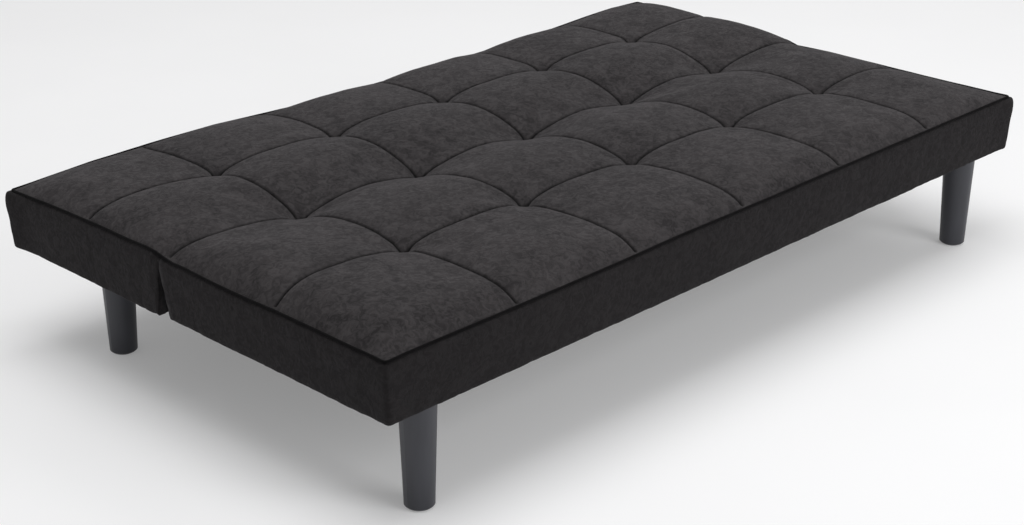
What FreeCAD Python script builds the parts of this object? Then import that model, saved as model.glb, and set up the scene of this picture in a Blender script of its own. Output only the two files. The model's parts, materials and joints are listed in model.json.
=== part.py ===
"""Click clack sofa bed, modelled flat as a bed: a seat and a back joined by two ratchet hinges.

Millimetres, +X along the length, +Y from the front edge to the far edge of the back, +Z up.
The origin is on the floor under the middle of the bed.
"""
import FreeCAD, Part
import math
import os

V = FreeCAD.Vector

# Overall sizes
LENGTH = 1800.0            # over the bulge of the two end borders
SEAT_DEPTH = 570.0         # front bulge to the hinge line
BACK_DEPTH = 494.0         # hinge line to the far bulge
SEAM_HEIGHT = 318.0        # floor to the piped top seam
SEAT_UNDERSIDE = 200.0     # floor to the seat's bottom cover
BACK_UNDERSIDE = 196.0     # floor to the back's bottom cover

# Tufted cushions
PAD_COLUMNS = 6
CUSHION_EDGE = 30.0        # foam at the seam, above the webbing
TUFT_ROW_GAP = 284.0       # seat: hinge line to the row of tufts
BACK_TUFT_ROW_GAP = 248.0  # back: hinge line to the row of tufts
TUFT_RISE = 15.0           # tufts above the seam
FOLD_TUFT_RISE = 0.5       # and over the hinge
SEWN_ARCH = 14.0           # a sewn line bows up this much between two tufts
EDGE_CROWN = 1.5           # foam over the seam along the piped edge
EDGE_ROLL = 190.0          # radius over which the pads roll down to the piping
ROLL_RISE = 43.0           # top of that roll above the seam

# Borders and piping
BORDER_TOP = 17.0          # padded border, thickness at the top seam
BORDER_BULGE = 20.0        # and where it bulges most
BORDER_FOOT = 16.0         # and where it is drawn in at the bottom
BULGE_DROP = 26.0          # top seam to the fullest place
PIPING_RADIUS = 3.5
PIPING_CORNER = 9.0        # the piping cuts across its corners by this much

# Timber frames
RAIL = 22.0                # thickness of the outer rails
CROSS_RAIL = 40.0          # width of the cross rails
BLOCK = 42.0               # legs of the glued corner blocks
BLOCK_GAP = 5.0            # between a corner block and the hinge over it
COVER = 1.2                # bottom covers
WEBBING = 1.5              # elastic webbing
WEBBING_WIDTH = 60.0
WEBBING_COUNT = 8
SOFT_GAP = 0.3             # between soft pieces and what they lie on

# Legs
LEG_INSET_X = 106.0        # end of the bed to a leg's middle
FRONT_LEG_INSET = 46.5     # front edge to a front leg's middle
REAR_LEG_REACH = 316.0     # hinge line to a rear leg's middle
LEG_TOP_RADIUS = 33.0
LEG_FOOT_RADIUS = 26.6
LEG_RIM = 3.0              # bevel of the rim at the floor
GLIDE_RADIUS = 20.0
GLIDE_THICK = 2.0
LEG_PLATE = 3.0
LEG_PLATE_SIZE = 52.0
LEG_PLATE_CORNER = 6.0
STUD_RADIUS = 4.0          # threaded stud in the top of each leg
STUD_IN_LEG = 30.0
STUD_IN_RAIL = 40.0
SHANK_SIDES = 8            # screws and studs have a plain eight-sided shank in place of the thread
NUT_CORNER = 7.5           # middle of a hexagon to its corners
NUT_HEIGHT = 5.0

# Outrigger arms that carry the rear legs behind the hinge
ARM_WIDTH = 40.0
ARM_STEEL = 2.5
ARM_FLANGE = 18.0
ARM_UNDER_SEAT = 235.0     # how far the arm reaches forward under the seat
ARM_BACK_GAP = 9.0         # arm's top to the underside of the back
ARM_PAD_RADIUS = 38.0      # round pad over the rear leg
BUFFER_RADIUS = 12.0
BUFFER_REACH = 170.0       # hinge line to the rubber buffers
ARM_SCREWS = (-60.0, -180.0)

# Ratchet hinge; angles are seen along +X, from +Y towards +Z
FOLD_MAX = 76.0            # back upright
FOLD_MID = 38.0            # back reclined
PIVOT_DROP = 18.0          # top seam to the pivot
OUTER_CHEEK = 4.0
INNER_CHEEK = 4.0
SECTOR = 5.0               # back arm, ratchet sector and pawl
CAM = 2.5
PLATE_GAP = 0.4            # between plates that slide on each other
HEAD_RADIUS = 20.0
RATCHET_RADIUS = 40.0
NOTCH_DEPTH = 6.0
NOTCH_TOP = 12.0
NOTCH_FLOOR = 10.8
PIVOT_RADIUS = 6.0
PIN_HEAD = 4.0
PAWL_PIN_RADIUS = 4.0
PAWL_PIN_Y = -42.0         # from the main pivot
PAWL_PIN_Z = -36.0
PAWL_HUB = 9.0
PAWL_BOX = 24.0            # pawl's hub to the front wall of its box
PAWL_SWING = 10.0          # from lifted to home in a notch
PAWL_CLEARANCE = 0.8       # nose to the walls of its notch
STUD_DEPTH = 9.5           # follower stud below the pawl's pin when home
STUD_SIZE = 3.0
CAM_RATIO = 3.0            # degrees of cam for each degree of pawl
RUNNING = 0.05             # radial clearance on the pins
SEAT_ARM_REACH = 210.0
BACK_ARM_REACH = 205.0
ARM_BAR = 28.0             # height of the back arm's bar
NECK_FOOT_Y = 24.0         # where the back arm's neck meets the bar, from the pivot
NECK_LOW_Y = 8.0           # and the neck's lowest corner
NECK_LOW_Z = -30.0
NECK_FRONT_Y = -10.0       # and its front corner
NECK_FRONT_Z = -17.0
HINGE_SCREWS = (95.0, 142.0, 188.0)
SCREW_RADIUS = 3.5
SCREW_DEPTH = 17.0
SCREW_HEAD = 6.5
SCREW_HEAD_HEIGHT = 4.0
SPRING_STRIP = 0.9         # thickness of the pawl's strip spring

# Gap between seat and back
FOLD_GAP = 1.2             # half the gap at the fold
SLIT_FOOT = 44.0           # back's edge behind the hinge line, at the bottom
SLIT_HEAD = 6.0            # and where the slit closes
SLIT_TOP_DROP = 25.0       # top seam to where the slit closes

# Worked out from the sizes above
HINGE_Y = (SEAT_DEPTH - BACK_DEPTH) / 2
FRONT_Y = HINGE_Y - SEAT_DEPTH
FAR_Y = HINGE_Y + BACK_DEPTH
PIVOT_Z = SEAM_HEIGHT - PIVOT_DROP
END_IN = LENGTH / 2 - BORDER_BULGE            # outer face of the end rails
FRONT_IN = FRONT_Y + BORDER_BULGE             # outer face of the front rail
FAR_IN = FAR_Y - BORDER_BULGE                 # outer face of the far rail
RAIL_IN = END_IN - RAIL                       # inner face of the end rails
FRAME_TOP = SEAM_HEIGHT - CUSHION_EDGE - WEBBING - SOFT_GAP
SEAT_FRAME_LOW = SEAT_UNDERSIDE + COVER
BACK_FRAME_LOW = BACK_UNDERSIDE + COVER
LEG_X = LENGTH / 2 - LEG_INSET_X
FRONT_LEG_Y = FRONT_Y + FRONT_LEG_INSET
REAR_LEG_Y = HINGE_Y + REAR_LEG_REACH
ARM_TOP = BACK_UNDERSIDE - ARM_BACK_GAP
FOLD_SLOPE = math.tan(math.radians(FOLD_MAX / 2 + 1.0))
SECTOR_U = OUTER_CHEEK + PLATE_GAP
CAM_U = SECTOR_U + SECTOR + PLATE_GAP
INNER_U = CAM_U + CAM + PLATE_GAP
HINGE_U = INNER_U + INNER_CHEEK
MID_X = RAIL_IN - HINGE_U - PIN_HEAD - 1.0    # pieces inboard of the hinges end here
REAR_RAIL_Y = HINGE_Y - FOLD_GAP - 1.5        # rear face of the seat's rear rail
NEAR_RAIL_Y = HINGE_Y + SLIT_FOOT + 4.0       # near face of the back's near rail
BACK_ARM_TOP = FRAME_TOP - 2.0


def box(x0, x1, y0, y1, z0, z1):
    """Block between two corners."""
    return Part.makeBox(x1 - x0, y1 - y0, z1 - z0, V(x0, y0, z0))


def prism_x(points, x0, x1):
    """Outline of (y, z) points, thick from x0 to x1."""
    ring = [V(x0, y, z) for y, z in points]
    return Part.Face(Part.makePolygon(ring + ring[:1])).extrude(V(x1 - x0, 0, 0))


def prism_z(points, z0, z1):
    """Outline of (x, y) points, thick from z0 to z1."""
    ring = [V(x, y, z0) for x, y in points]
    return Part.Face(Part.makePolygon(ring + ring[:1])).extrude(V(0, 0, z1 - z0))


def rod_x(y, z, radius, x0, x1):
    """Round bar along X."""
    return Part.makeCylinder(radius, x1 - x0, V(x0, y, z), V(1, 0, 0))


def rod_z(x, y, radius, z0, z1):
    """Round bar along Z."""
    return Part.makeCylinder(radius, z1 - z0, V(x, y, z0), V(0, 0, 1))


def ring_points(across, up, radius, sides):
    """Corners of a regular polygon."""
    turn = 2 * math.pi / sides
    return [(across + radius * math.cos(turn * k), up + radius * math.sin(turn * k)) for k in range(sides)]


def shank_z(x, y, radius, z0, z1):
    """Upright shank of a screw or stud, or the hole for it."""
    return prism_z(ring_points(x, y, radius, SHANK_SIDES), z0, z1)


def mirrored(shape):
    """The same piece for the left end."""
    return shape.mirror(V(0, 0, 0), V(1, 0, 0))


def both_ends(shape):
    """A piece at the right end and its mirror image at the left, in one node."""
    return Part.makeCompound([shape, mirrored(shape)])


def save(name, shape):
    """Write one sub-part."""
    shape.exportStep("parts/" + name + ".step")
    print(name, len(shape.Solids), round(shape.Volume / 1000.0, 1), shape.isValid())


def save_pair(name, shape):
    """Write a piece of the right end and its mirror image."""
    save(name + "_right", shape)
    save(name + "_left", mirrored(shape))


# Cushions

def pad(x0, x1, tuft_y, other_y, other_rise, low):
    """One crowned pad: a block under the dome that passes through its four tufts.

    Two tufts lie on the row at tuft_y, the other two at other_y; on the row the sewn line bows up by SEWN_ARCH.
    """
    half = (x1 - x0) / 2
    tuft_z = SEAM_HEIGHT + TUFT_RISE
    other_z = SEAM_HEIGHT + other_rise
    middle_z = tuft_z - (half * half - SEWN_ARCH * SEWN_ARCH) / (2 * SEWN_ARCH)
    lean = ((other_z - middle_z) ** 2 - (tuft_z - middle_z) ** 2) / (2 * (tuft_y - other_y))
    middle_y = (tuft_y + other_y) / 2 - lean
    radius = math.sqrt(half * half + (tuft_y - middle_y) ** 2 + (tuft_z - middle_z) ** 2)
    middle = V((x0 + x1) / 2, middle_y, middle_z)
    ball = Part.makeSphere(radius, middle, V(0, 1, 0), -45, 45)
    ball.rotate(middle, V(0, 1, 0), 180)
    y0, y1 = sorted((tuft_y, other_y))
    return ball.common(box(x0, x1, y0, y1, low, SEAM_HEIGHT + 2 * ROLL_RISE))


def roll(edge, inward, low):
    """Points and arc of a side that stands up to the seam and rolls over inward, as (across, z) values."""
    foot = (edge, low)
    lip = (edge, SEAM_HEIGHT + EDGE_CROWN)
    rise = ROLL_RISE - EDGE_CROWN
    reach = math.sqrt(EDGE_ROLL ** 2 - (EDGE_ROLL - rise) ** 2)
    top = (edge + inward * reach, SEAM_HEIGHT + ROLL_RISE)
    turn = math.acos(1 - rise / EDGE_ROLL) / 2
    between = (top[0] - inward * EDGE_ROLL * math.sin(turn), top[1] - EDGE_ROLL * (1 - math.cos(turn)))
    return foot, lip, between, top


def rolled_prism(first, second, to_vector, sweep):
    """Solid over the section between two rolled or plain sides, swept sideways."""
    points = [[to_vector(*point) for point in side] for side in (first, second)]
    edges = []
    for side in points:
        edges.append(Part.LineSegment(side[0], side[1]).toShape())
        edges.append(Part.Arc(side[1], side[2], side[3]).toShape())
    edges.append(Part.LineSegment(points[0][3], points[1][3]).toShape())
    edges.append(Part.LineSegment(points[0][0], points[1][0]).toShape())
    return Part.Face(Part.Wire(Part.__sortEdges__(edges))).extrude(sweep)


def fold_wedge(side):
    """Room over the pivot that lets the back rise: side is -1 for the seat, +1 for the back."""
    reach = 90.0
    near = HINGE_Y + side * FOLD_GAP
    across = HINGE_Y - side * FOLD_GAP
    top = PIVOT_Z + reach
    outline = [(near, PIVOT_Z), (near + side * reach * FOLD_SLOPE, top), (across, top), (across, PIVOT_Z)]
    return prism_x(outline, -LENGTH, LENGTH)


def cushion(side, row_gap, outer_in):
    """Tufted cushion of the seat (side -1) or back (+1), its pads fused along the sewn lines."""
    low = SEAM_HEIGHT - CUSHION_EDGE
    half = END_IN - SOFT_GAP
    pitch = LENGTH / PAD_COLUMNS
    outer = outer_in - side * SOFT_GAP
    row = HINGE_Y + side * row_gap
    fold = HINGE_Y + side * FOLD_GAP
    pads = []
    for column in range(PAD_COLUMNS):
        x0 = -LENGTH / 2 + pitch * column
        pads.append(pad(x0, x0 + pitch, row, outer, TUFT_RISE, low))
        pads.append(pad(x0, x0 + pitch, row, fold, FOLD_TUFT_RISE, low))
    body = pads[0].fuse(pads[1:]).removeSplitter()
    along = rolled_prism(roll(-half, 1, low), roll(half, -1, low), lambda x, z: V(x, -LENGTH, z),
                         V(0, 2 * LENGTH, 0))
    across = rolled_prism(roll(outer, -side, low), roll(outer - side * 2 * LENGTH, side, low),
                          lambda y, z: V(-LENGTH, y, z), V(2 * LENGTH, 0, 0))
    return body.common(along).common(across).cut([fold_wedge(side)] + hinge_pockets(side))


def hinge_pockets(side):
    """Hollows in the foam for the hinge heads, and in the seat for the tips of the ratchet."""
    room = 2.0
    x0 = MID_X
    x1 = RAIL_IN + room
    pockets = [rod_x(HINGE_Y, PIVOT_Z, HEAD_RADIUS + room, x0, x1)]
    if side < 0:
        pockets.append(box(x0, x1, HINGE_Y - RATCHET_RADIUS - room, HINGE_Y, 0, PIVOT_Z + 5.0))
    else:
        pockets.append(box(x0, x1, HINGE_Y, HINGE_Y + HEAD_RADIUS + 14.0, 0, PIVOT_Z))
    return pockets + [mirrored(pocket) for pocket in pockets]


# Borders and piping

def border_face(origin, outward, low):
    """Section of a padded border: flat inside, bulging out under the seam and drawn in at the foot."""
    top = SEAM_HEIGHT - PIPING_RADIUS

    def at(depth, z):
        return origin + outward * depth + V(0, 0, z)

    full = SEAM_HEIGHT - BULGE_DROP
    shoulder = at(BORDER_TOP + 0.8 * (BORDER_BULGE - BORDER_TOP), (top + full) / 2)
    flank = at(BORDER_FOOT + 0.78 * (BORDER_BULGE - BORDER_FOOT), (full + low) / 2)
    edges = [
        Part.LineSegment(at(0, low), at(0, top)).toShape(),
        Part.LineSegment(at(0, top), at(BORDER_TOP, top)).toShape(),
        Part.Arc(at(BORDER_TOP, top), shoulder, at(BORDER_BULGE, full)).toShape(),
        Part.Arc(at(BORDER_BULGE, full), flank, at(BORDER_FOOT, low)).toShape(),
        Part.LineSegment(at(BORDER_FOOT, low), at(0, low)).toShape(),
    ]
    return Part.Face(Part.Wire(edges))


def long_border(side, inner_y, low):
    """Border along the front (side -1) or the far edge (+1), mitred at both ends."""
    half = END_IN + BORDER_BULGE
    bar = border_face(V(-half, inner_y, 0), V(0, side, 0), low).extrude(V(2 * half, 0, 0))
    reach = BORDER_BULGE + 1.0
    mitre = [(-END_IN, inner_y), (END_IN, inner_y),
             (END_IN + reach, inner_y + side * reach), (-END_IN - reach, inner_y + side * reach)]
    return bar.common(prism_z(mitre, 0, 2 * SEAM_HEIGHT))


def end_outline(side, outer_y, low):
    """Side view of an end border, with the slit below the pivot and the fold's notch above it."""
    near = HINGE_Y + side * FOLD_GAP
    top = SEAM_HEIGHT + PIPING_RADIUS
    notch = near + side * (top - PIVOT_Z) * FOLD_SLOPE
    upper = [(near, PIVOT_Z), (notch, top), (outer_y, top)]
    if side < 0:
        return [(outer_y, low), (near, low)] + upper
    slit_top = SEAM_HEIGHT - SLIT_TOP_DROP
    return [(outer_y, low), (HINGE_Y + SLIT_FOOT, low), (HINGE_Y + SLIT_HEAD, slit_top)] + upper


def end_border(side, inner_y, low):
    """Border across the right end of the seat or back."""
    outer = inner_y + side * BORDER_BULGE
    bar = border_face(V(END_IN, outer, 0), V(1, 0, 0), low).extrude(V(0, HINGE_Y - side * LENGTH - outer, 0))
    reach = BORDER_BULGE + 1.0
    across = HINGE_Y - side * SEAT_DEPTH
    mitre = [(END_IN, inner_y), (END_IN + reach, inner_y + side * reach), (END_IN + reach, across),
             (END_IN, across)]
    bar = bar.common(prism_z(mitre, 0, 2 * SEAM_HEIGHT))
    return bar.common(prism_x(end_outline(side, outer, low), END_IN - 1.0, END_IN + reach))


def piping(side, inner_y):
    """Piped seam round three sides of the seat or back, open at the fold."""
    inset = BORDER_TOP - PIPING_RADIUS
    x = END_IN + inset
    y = inner_y + side * inset
    bend = PIPING_CORNER
    line = [(-x, HINGE_Y), (-x, y - side * bend), (-x + bend, y), (x - bend, y), (x, y - side * bend),
            (x, HINGE_Y)]
    path = Part.makePolygon([V(px, py, SEAM_HEIGHT) for px, py in line])
    ring = Part.Wire(Part.makeCircle(PIPING_RADIUS, V(-x, HINGE_Y, SEAM_HEIGHT), V(0, 1, 0)))
    cord = path.makePipeShell([ring], True, False, 1)
    return cord.cut(fold_wedge(side))


# Timber frames

def end_rail(side, inner_y, hinge_end, low):
    """Rail across the right end of a frame, with pilot holes for the hinge screws."""
    y0, y1 = sorted((inner_y, hinge_end))
    height = seat_screw_height() if side < 0 else back_screw_height()
    holes = [shank_x(side * reach, height, SCREW_RADIUS, -SCREW_DEPTH, 0) for reach in HINGE_SCREWS]
    return box(RAIL_IN, END_IN, y0, y1, low, FRAME_TOP).cut(holes)


def corner_block(side_x, y, toward, low):
    """Triangular glued block in a corner whose point is at side_x, y; it ends below the hinge."""
    outline = [(side_x, y), (side_x - BLOCK, y), (side_x, y + toward * BLOCK)]
    return prism_z(outline, low, PIVOT_Z + seat_arm_foot() - BLOCK_GAP)


def frame_parts(prefix, side, inner_y, hinge_face, low):
    """Rails, cross rails, corner blocks and webbing of the seat's or back's frame."""
    outer_name = "front" if side < 0 else "far"
    inner_name = "rear" if side < 0 else "near"
    outer_face = inner_y - side * RAIL
    inner_face = hinge_face + side * RAIL
    y0, y1 = sorted((inner_y, outer_face))
    save(prefix + "_" + outer_name + "_rail", box(-RAIL_IN, RAIL_IN, y0, y1, low, FRAME_TOP))
    y0, y1 = sorted((hinge_face, inner_face))
    save(prefix + "_" + inner_name + "_rail", box(-MID_X, MID_X, y0, y1, low, FRAME_TOP))
    save_pair(prefix + "_end_rail", end_rail(side, inner_y, hinge_face, low))
    y0, y1 = sorted((outer_face, inner_face))
    cross = box(LEG_X - CROSS_RAIL / 2, LEG_X + CROSS_RAIL / 2, y0, y1, low, FRAME_TOP)
    if side < 0:
        for x, y, reach in seat_stud_places():
            cross = cross.cut(shank_z(x, y, STUD_RADIUS, low, low + reach))
    save_pair(prefix + "_cross_rail", cross)
    save(prefix + "_middle_rail", box(-CROSS_RAIL / 2, CROSS_RAIL / 2, y0, y1, low, FRAME_TOP))
    blocks = [corner_block(RAIL_IN, outer_face, -side, low), corner_block(RAIL_IN, inner_face, side, low)]
    save(prefix + "_corner_blocks", Part.makeCompound(blocks + [mirrored(block) for block in blocks]))
    y0, y1 = sorted((inner_y, hinge_face))
    pitch = 2 * MID_X / WEBBING_COUNT
    straps = []
    for k in range(WEBBING_COUNT):
        x = -MID_X + pitch * (k + 0.5)
        straps.append(box(x - WEBBING_WIDTH / 2, x + WEBBING_WIDTH / 2, y0, y1, FRAME_TOP, FRAME_TOP + WEBBING))
    save(prefix + "_webbing", Part.makeCompound(straps))


def seat_stud_places():
    """Screws and studs that go up into the right cross rail: x, y and length in the rail."""
    places = [(LEG_X, FRONT_LEG_Y, STUD_IN_RAIL)]
    for reach in ARM_SCREWS:
        places.append((LEG_X, HINGE_Y + reach, STUD_IN_RAIL))
    return places


def seat_cover():
    """Bottom cover of the seat, with holes where studs and screws pass."""
    sheet = box(-END_IN, END_IN, FRONT_IN, REAR_RAIL_Y, SEAT_UNDERSIDE, SEAT_FRAME_LOW)
    holes = [shank_z(x, y, STUD_RADIUS, SEAT_UNDERSIDE, SEAT_FRAME_LOW) for x, y, _ in seat_stud_places()]
    return sheet.cut(holes + [mirrored(hole) for hole in holes])


def back_cover():
    """Bottom cover of the back."""
    return box(-END_IN, END_IN, NEAR_RAIL_Y, FAR_IN, BACK_UNDERSIDE, BACK_FRAME_LOW)


def seat_rear_border():
    """Cover over the rear face of the seat, between the hinges."""
    return box(-MID_X, MID_X, REAR_RAIL_Y, HINGE_Y - FOLD_GAP, SEAT_FRAME_LOW, FRAME_TOP)


def back_near_border():
    """Padded wedge on the back's edge at the hinge, leaning towards the fold."""
    foot = HINGE_Y + SLIT_FOOT
    slit_top = SEAM_HEIGHT - SLIT_TOP_DROP
    lean = (SLIT_FOOT - SLIT_HEAD) / (slit_top - BACK_UNDERSIDE)
    low = BACK_FRAME_LOW
    near_low = foot - (low - BACK_UNDERSIDE) * lean
    near_top = foot - (FRAME_TOP - BACK_UNDERSIDE) * lean
    outline = [(near_low, low), (NEAR_RAIL_Y, low), (NEAR_RAIL_Y, FRAME_TOP), (near_top, FRAME_TOP)]
    return prism_x(outline, -MID_X, MID_X)


# Legs

def leg(x, y, top):
    """Tapered moulded leg with a bevelled rim at the floor and a bore for its stud."""
    foot = GLIDE_THICK
    taper = (LEG_TOP_RADIUS - LEG_FOOT_RADIUS) / (SEAT_UNDERSIDE - LEG_PLATE - foot)
    top_radius = LEG_FOOT_RADIUS + taper * (top - foot)
    body = Part.makeCone(LEG_FOOT_RADIUS, top_radius, top - foot, V(x, y, foot), V(0, 0, 1))
    rim = [e for e in body.Edges if abs(e.BoundBox.ZMax - foot) < 0.01 and e.BoundBox.XLength > 1.0]
    body = body.makeChamfer(LEG_RIM, rim)
    return body.cut(shank_z(x, y, STUD_RADIUS, top - STUD_IN_LEG, top))


def glide(x, y):
    """Plastic glide nailed under the foot of a leg."""
    return rod_z(x, y, GLIDE_RADIUS, 0, GLIDE_THICK)


def leg_plate():
    """Steel plate with cropped corners between a front leg and the seat frame."""
    half = LEG_PLATE_SIZE / 2
    top = SEAT_UNDERSIDE
    plate_body = box(LEG_X - half, LEG_X + half, FRONT_LEG_Y - half, FRONT_LEG_Y + half, top - LEG_PLATE, top)
    corners = [e for e in plate_body.Edges if e.BoundBox.ZLength > LEG_PLATE / 2]
    plate_body = plate_body.makeChamfer(LEG_PLATE_CORNER, corners)
    return plate_body.cut(shank_z(LEG_X, FRONT_LEG_Y, STUD_RADIUS, top - LEG_PLATE, top))


def rear_arm():
    """Pressed steel channel under the seat that steps down and carries a rear leg behind the hinge."""
    high = SEAT_UNDERSIDE
    low = ARM_TOP
    front = HINGE_Y - ARM_UNDER_SEAT
    step_a = HINGE_Y - 14.0
    step_b = HINGE_Y + 16.0
    flange_end = REAR_LEG_Y - ARM_PAD_RADIUS
    x0, x1 = LEG_X - ARM_WIDTH / 2, LEG_X + ARM_WIDTH / 2
    line = [(front, high), (step_a, high), (step_b, low), (REAR_LEG_Y, low)]
    web = prism_x(line + [(y, z - ARM_STEEL) for y, z in reversed(line)], x0, x1)
    flange = [(front, high), (step_a, high), (step_b, low), (flange_end, low), (flange_end, low - ARM_STEEL),
              (flange_end - 3 * ARM_FLANGE, low - ARM_FLANGE), (step_b, low - ARM_FLANGE),
              (step_a, high - ARM_FLANGE), (front + ARM_FLANGE, high - ARM_FLANGE), (front, high - ARM_STEEL)]
    pad_disc = rod_z(LEG_X, REAR_LEG_Y, ARM_PAD_RADIUS, low - ARM_STEEL, low)
    body = web.fuse([prism_x(flange, x0, x0 + ARM_STEEL), prism_x(flange, x1 - ARM_STEEL, x1), pad_disc])
    body = body.removeSplitter()
    holes = [shank_z(LEG_X, REAR_LEG_Y, STUD_RADIUS, 0, PIVOT_Z)]
    for reach in ARM_SCREWS:
        holes.append(shank_z(LEG_X, HINGE_Y + reach, STUD_RADIUS, 0, PIVOT_Z))
    return body.cut(holes)


def leg_studs():
    """Threaded studs in the tops of the legs, with a nut over each rear arm."""
    front_top = SEAT_UNDERSIDE - LEG_PLATE
    front = shank_z(LEG_X, FRONT_LEG_Y, STUD_RADIUS, front_top - STUD_IN_LEG, SEAT_FRAME_LOW + STUD_IN_RAIL)
    rear_top = ARM_TOP - ARM_STEEL
    rear = shank_z(LEG_X, REAR_LEG_Y, STUD_RADIUS, rear_top - STUD_IN_LEG, ARM_TOP + NUT_HEIGHT)
    nut = prism_z(ring_points(LEG_X, REAR_LEG_Y, NUT_CORNER, 6), ARM_TOP, ARM_TOP + NUT_HEIGHT)
    return both_ends(Part.makeCompound([front, rear.fuse(nut).removeSplitter()]))


def arm_screws():
    """Hexagon screws that hold the rear arms up to the cross rails."""
    screws = []
    top = SEAT_UNDERSIDE - ARM_STEEL
    for reach in ARM_SCREWS:
        y = HINGE_Y + reach
        shank = shank_z(LEG_X, y, STUD_RADIUS, top, SEAT_FRAME_LOW + STUD_IN_RAIL)
        head = prism_z(ring_points(LEG_X, y, NUT_CORNER, 6), top - NUT_HEIGHT, top)
        screws.append(shank.fuse(head).removeSplitter())
    return both_ends(Part.makeCompound(screws))


def rest_buffers():
    """Rubber buffers on the rear arms, under the flat back."""
    return both_ends(rod_z(LEG_X, HINGE_Y + BUFFER_REACH, BUFFER_RADIUS, ARM_TOP, BACK_UNDERSIDE - SOFT_GAP))


# Ratchet hinge, built at the right end; u is the depth inward from the end rail's inner face

def plate(points, u0, u1):
    """Flat steel plate; its points are measured from the pivot."""
    outline = [(HINGE_Y + y, PIVOT_Z + z) for y, z in points]
    return prism_x(outline, RAIL_IN - u1, RAIL_IN - u0)


def disc(y, z, radius, u0, u1):
    """Round plate or pin; its middle is measured from the pivot."""
    return rod_x(HINGE_Y + y, PIVOT_Z + z, radius, RAIL_IN - u1, RAIL_IN - u0)


def shank_x(y, z, radius, u0, u1):
    """Level shank of a screw, or the hole for it; its middle is measured from the pivot."""
    return plate(ring_points(y, z, radius, SHANK_SIDES), u0, u1)


def polar(radius, degrees):
    """Point at an angle from +Y towards +Z."""
    angle = math.radians(degrees)
    return radius * math.cos(angle), radius * math.sin(angle)


def turned(shape, y, z, degrees):
    """Shape turned about an X axis through a point measured from the pivot."""
    copy = shape.copy()
    copy.rotate(V(0, HINGE_Y + y, PIVOT_Z + z), V(1, 0, 0), degrees)
    return copy


def seat_hinge_arm():
    """Fixed half of the hinge: a long outer cheek on the rail, a short inner one and the webs between."""
    foot = seat_arm_foot()
    bar_top = FRAME_TOP - 2.0 - PIVOT_Z
    end_r = (bar_top - foot - 4.0) / 2
    end_y = -SEAT_ARM_REACH + end_r
    end_z = bar_top - end_r
    box_front = PAWL_PIN_Y - PAWL_HUB - PAWL_BOX
    head = [(-HEAD_RADIUS, 0), (HEAD_RADIUS, 0), (13.0, foot + 4.0), (PAWL_PIN_Y - PAWL_HUB, foot)]
    outer = plate(head + [(end_y, end_z - end_r), (end_y, bar_top), (PAWL_PIN_Y + 4.0, bar_top)], 0, OUTER_CHEEK)
    outer = outer.fuse([disc(0, 0, HEAD_RADIUS, 0, OUTER_CHEEK), disc(end_y, end_z, end_r, 0, OUTER_CHEEK)])
    inner = plate(head + [(box_front, foot), (box_front, bar_top), (PAWL_PIN_Y + 4.0, bar_top)], INNER_U, HINGE_U)
    inner = inner.fuse(disc(0, 0, HEAD_RADIUS, INNER_U, HINGE_U))
    floor = plate([(box_front, foot), (PAWL_PIN_Y - PAWL_HUB, foot), (PAWL_PIN_Y - PAWL_HUB, foot + 3.0),
                   (box_front, foot + 3.0)], OUTER_CHEEK, INNER_U)
    wall = plate([(box_front, foot), (box_front + 3.0, foot), (box_front + 3.0, bar_top), (box_front, bar_top)],
                 OUTER_CHEEK, INNER_U)
    body = outer.fuse([inner, floor, wall]).removeSplitter()
    holes = [disc(0, 0, PIVOT_RADIUS, 0, HINGE_U), disc(PAWL_PIN_Y, PAWL_PIN_Z, PAWL_PIN_RADIUS, 0, HINGE_U)]
    for reach in HINGE_SCREWS:
        holes.append(shank_x(-reach, end_z, SCREW_RADIUS, 0, OUTER_CHEEK))
    return body.cut(holes)


def seat_arm_foot():
    """Lowest edge of the seat's hinge arm, measured from the pivot."""
    return PAWL_PIN_Z - PAWL_HUB - 9.0


def seat_screw_height():
    """Height of the seat arm's screws, measured from the pivot."""
    bar_top = FRAME_TOP - 2.0 - PIVOT_Z
    return bar_top - (bar_top - seat_arm_foot() - 4.0) / 2


def back_screw_height():
    """Height of the back arm's screws, measured from the pivot."""
    return BACK_ARM_TOP - PIVOT_Z - ARM_BAR / 2


def notch(fold):
    """Notch that meets the pawl's nose when the back is raised by this many degrees."""
    deep = RATCHET_RADIUS - NOTCH_DEPTH
    rim = RATCHET_RADIUS + 2.0
    outline = [(-NOTCH_FLOOR / 2, -deep), (NOTCH_FLOOR / 2, -deep), (NOTCH_TOP / 2, -rim), (-NOTCH_TOP / 2, -rim)]
    return turned(plate(outline, SECTOR_U, SECTOR_U + SECTOR), 0, 0, -fold)


def ratchet_sector():
    """Toothed sector on the back arm, over the angles that pass the pawl as the back rises."""
    first = -103.0
    last = -90.0 - FOLD_MAX - 17.0
    middle = (first + last) / 2
    wire = Part.Wire([
        Part.LineSegment(V(0, 0, 0), V(0, *polar(RATCHET_RADIUS, first))).toShape(),
        Part.Arc(V(0, *polar(RATCHET_RADIUS, first)), V(0, *polar(RATCHET_RADIUS, middle)),
                 V(0, *polar(RATCHET_RADIUS, last))).toShape(),
        Part.LineSegment(V(0, *polar(RATCHET_RADIUS, last)), V(0, 0, 0)).toShape(),
    ])
    wedge = Part.Face(wire).extrude(V(SECTOR, 0, 0))
    wedge.translate(V(RAIL_IN - SECTOR_U - SECTOR, HINGE_Y, PIVOT_Z))
    return wedge.cut([notch(FOLD_MID), notch(FOLD_MAX)])


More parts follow.
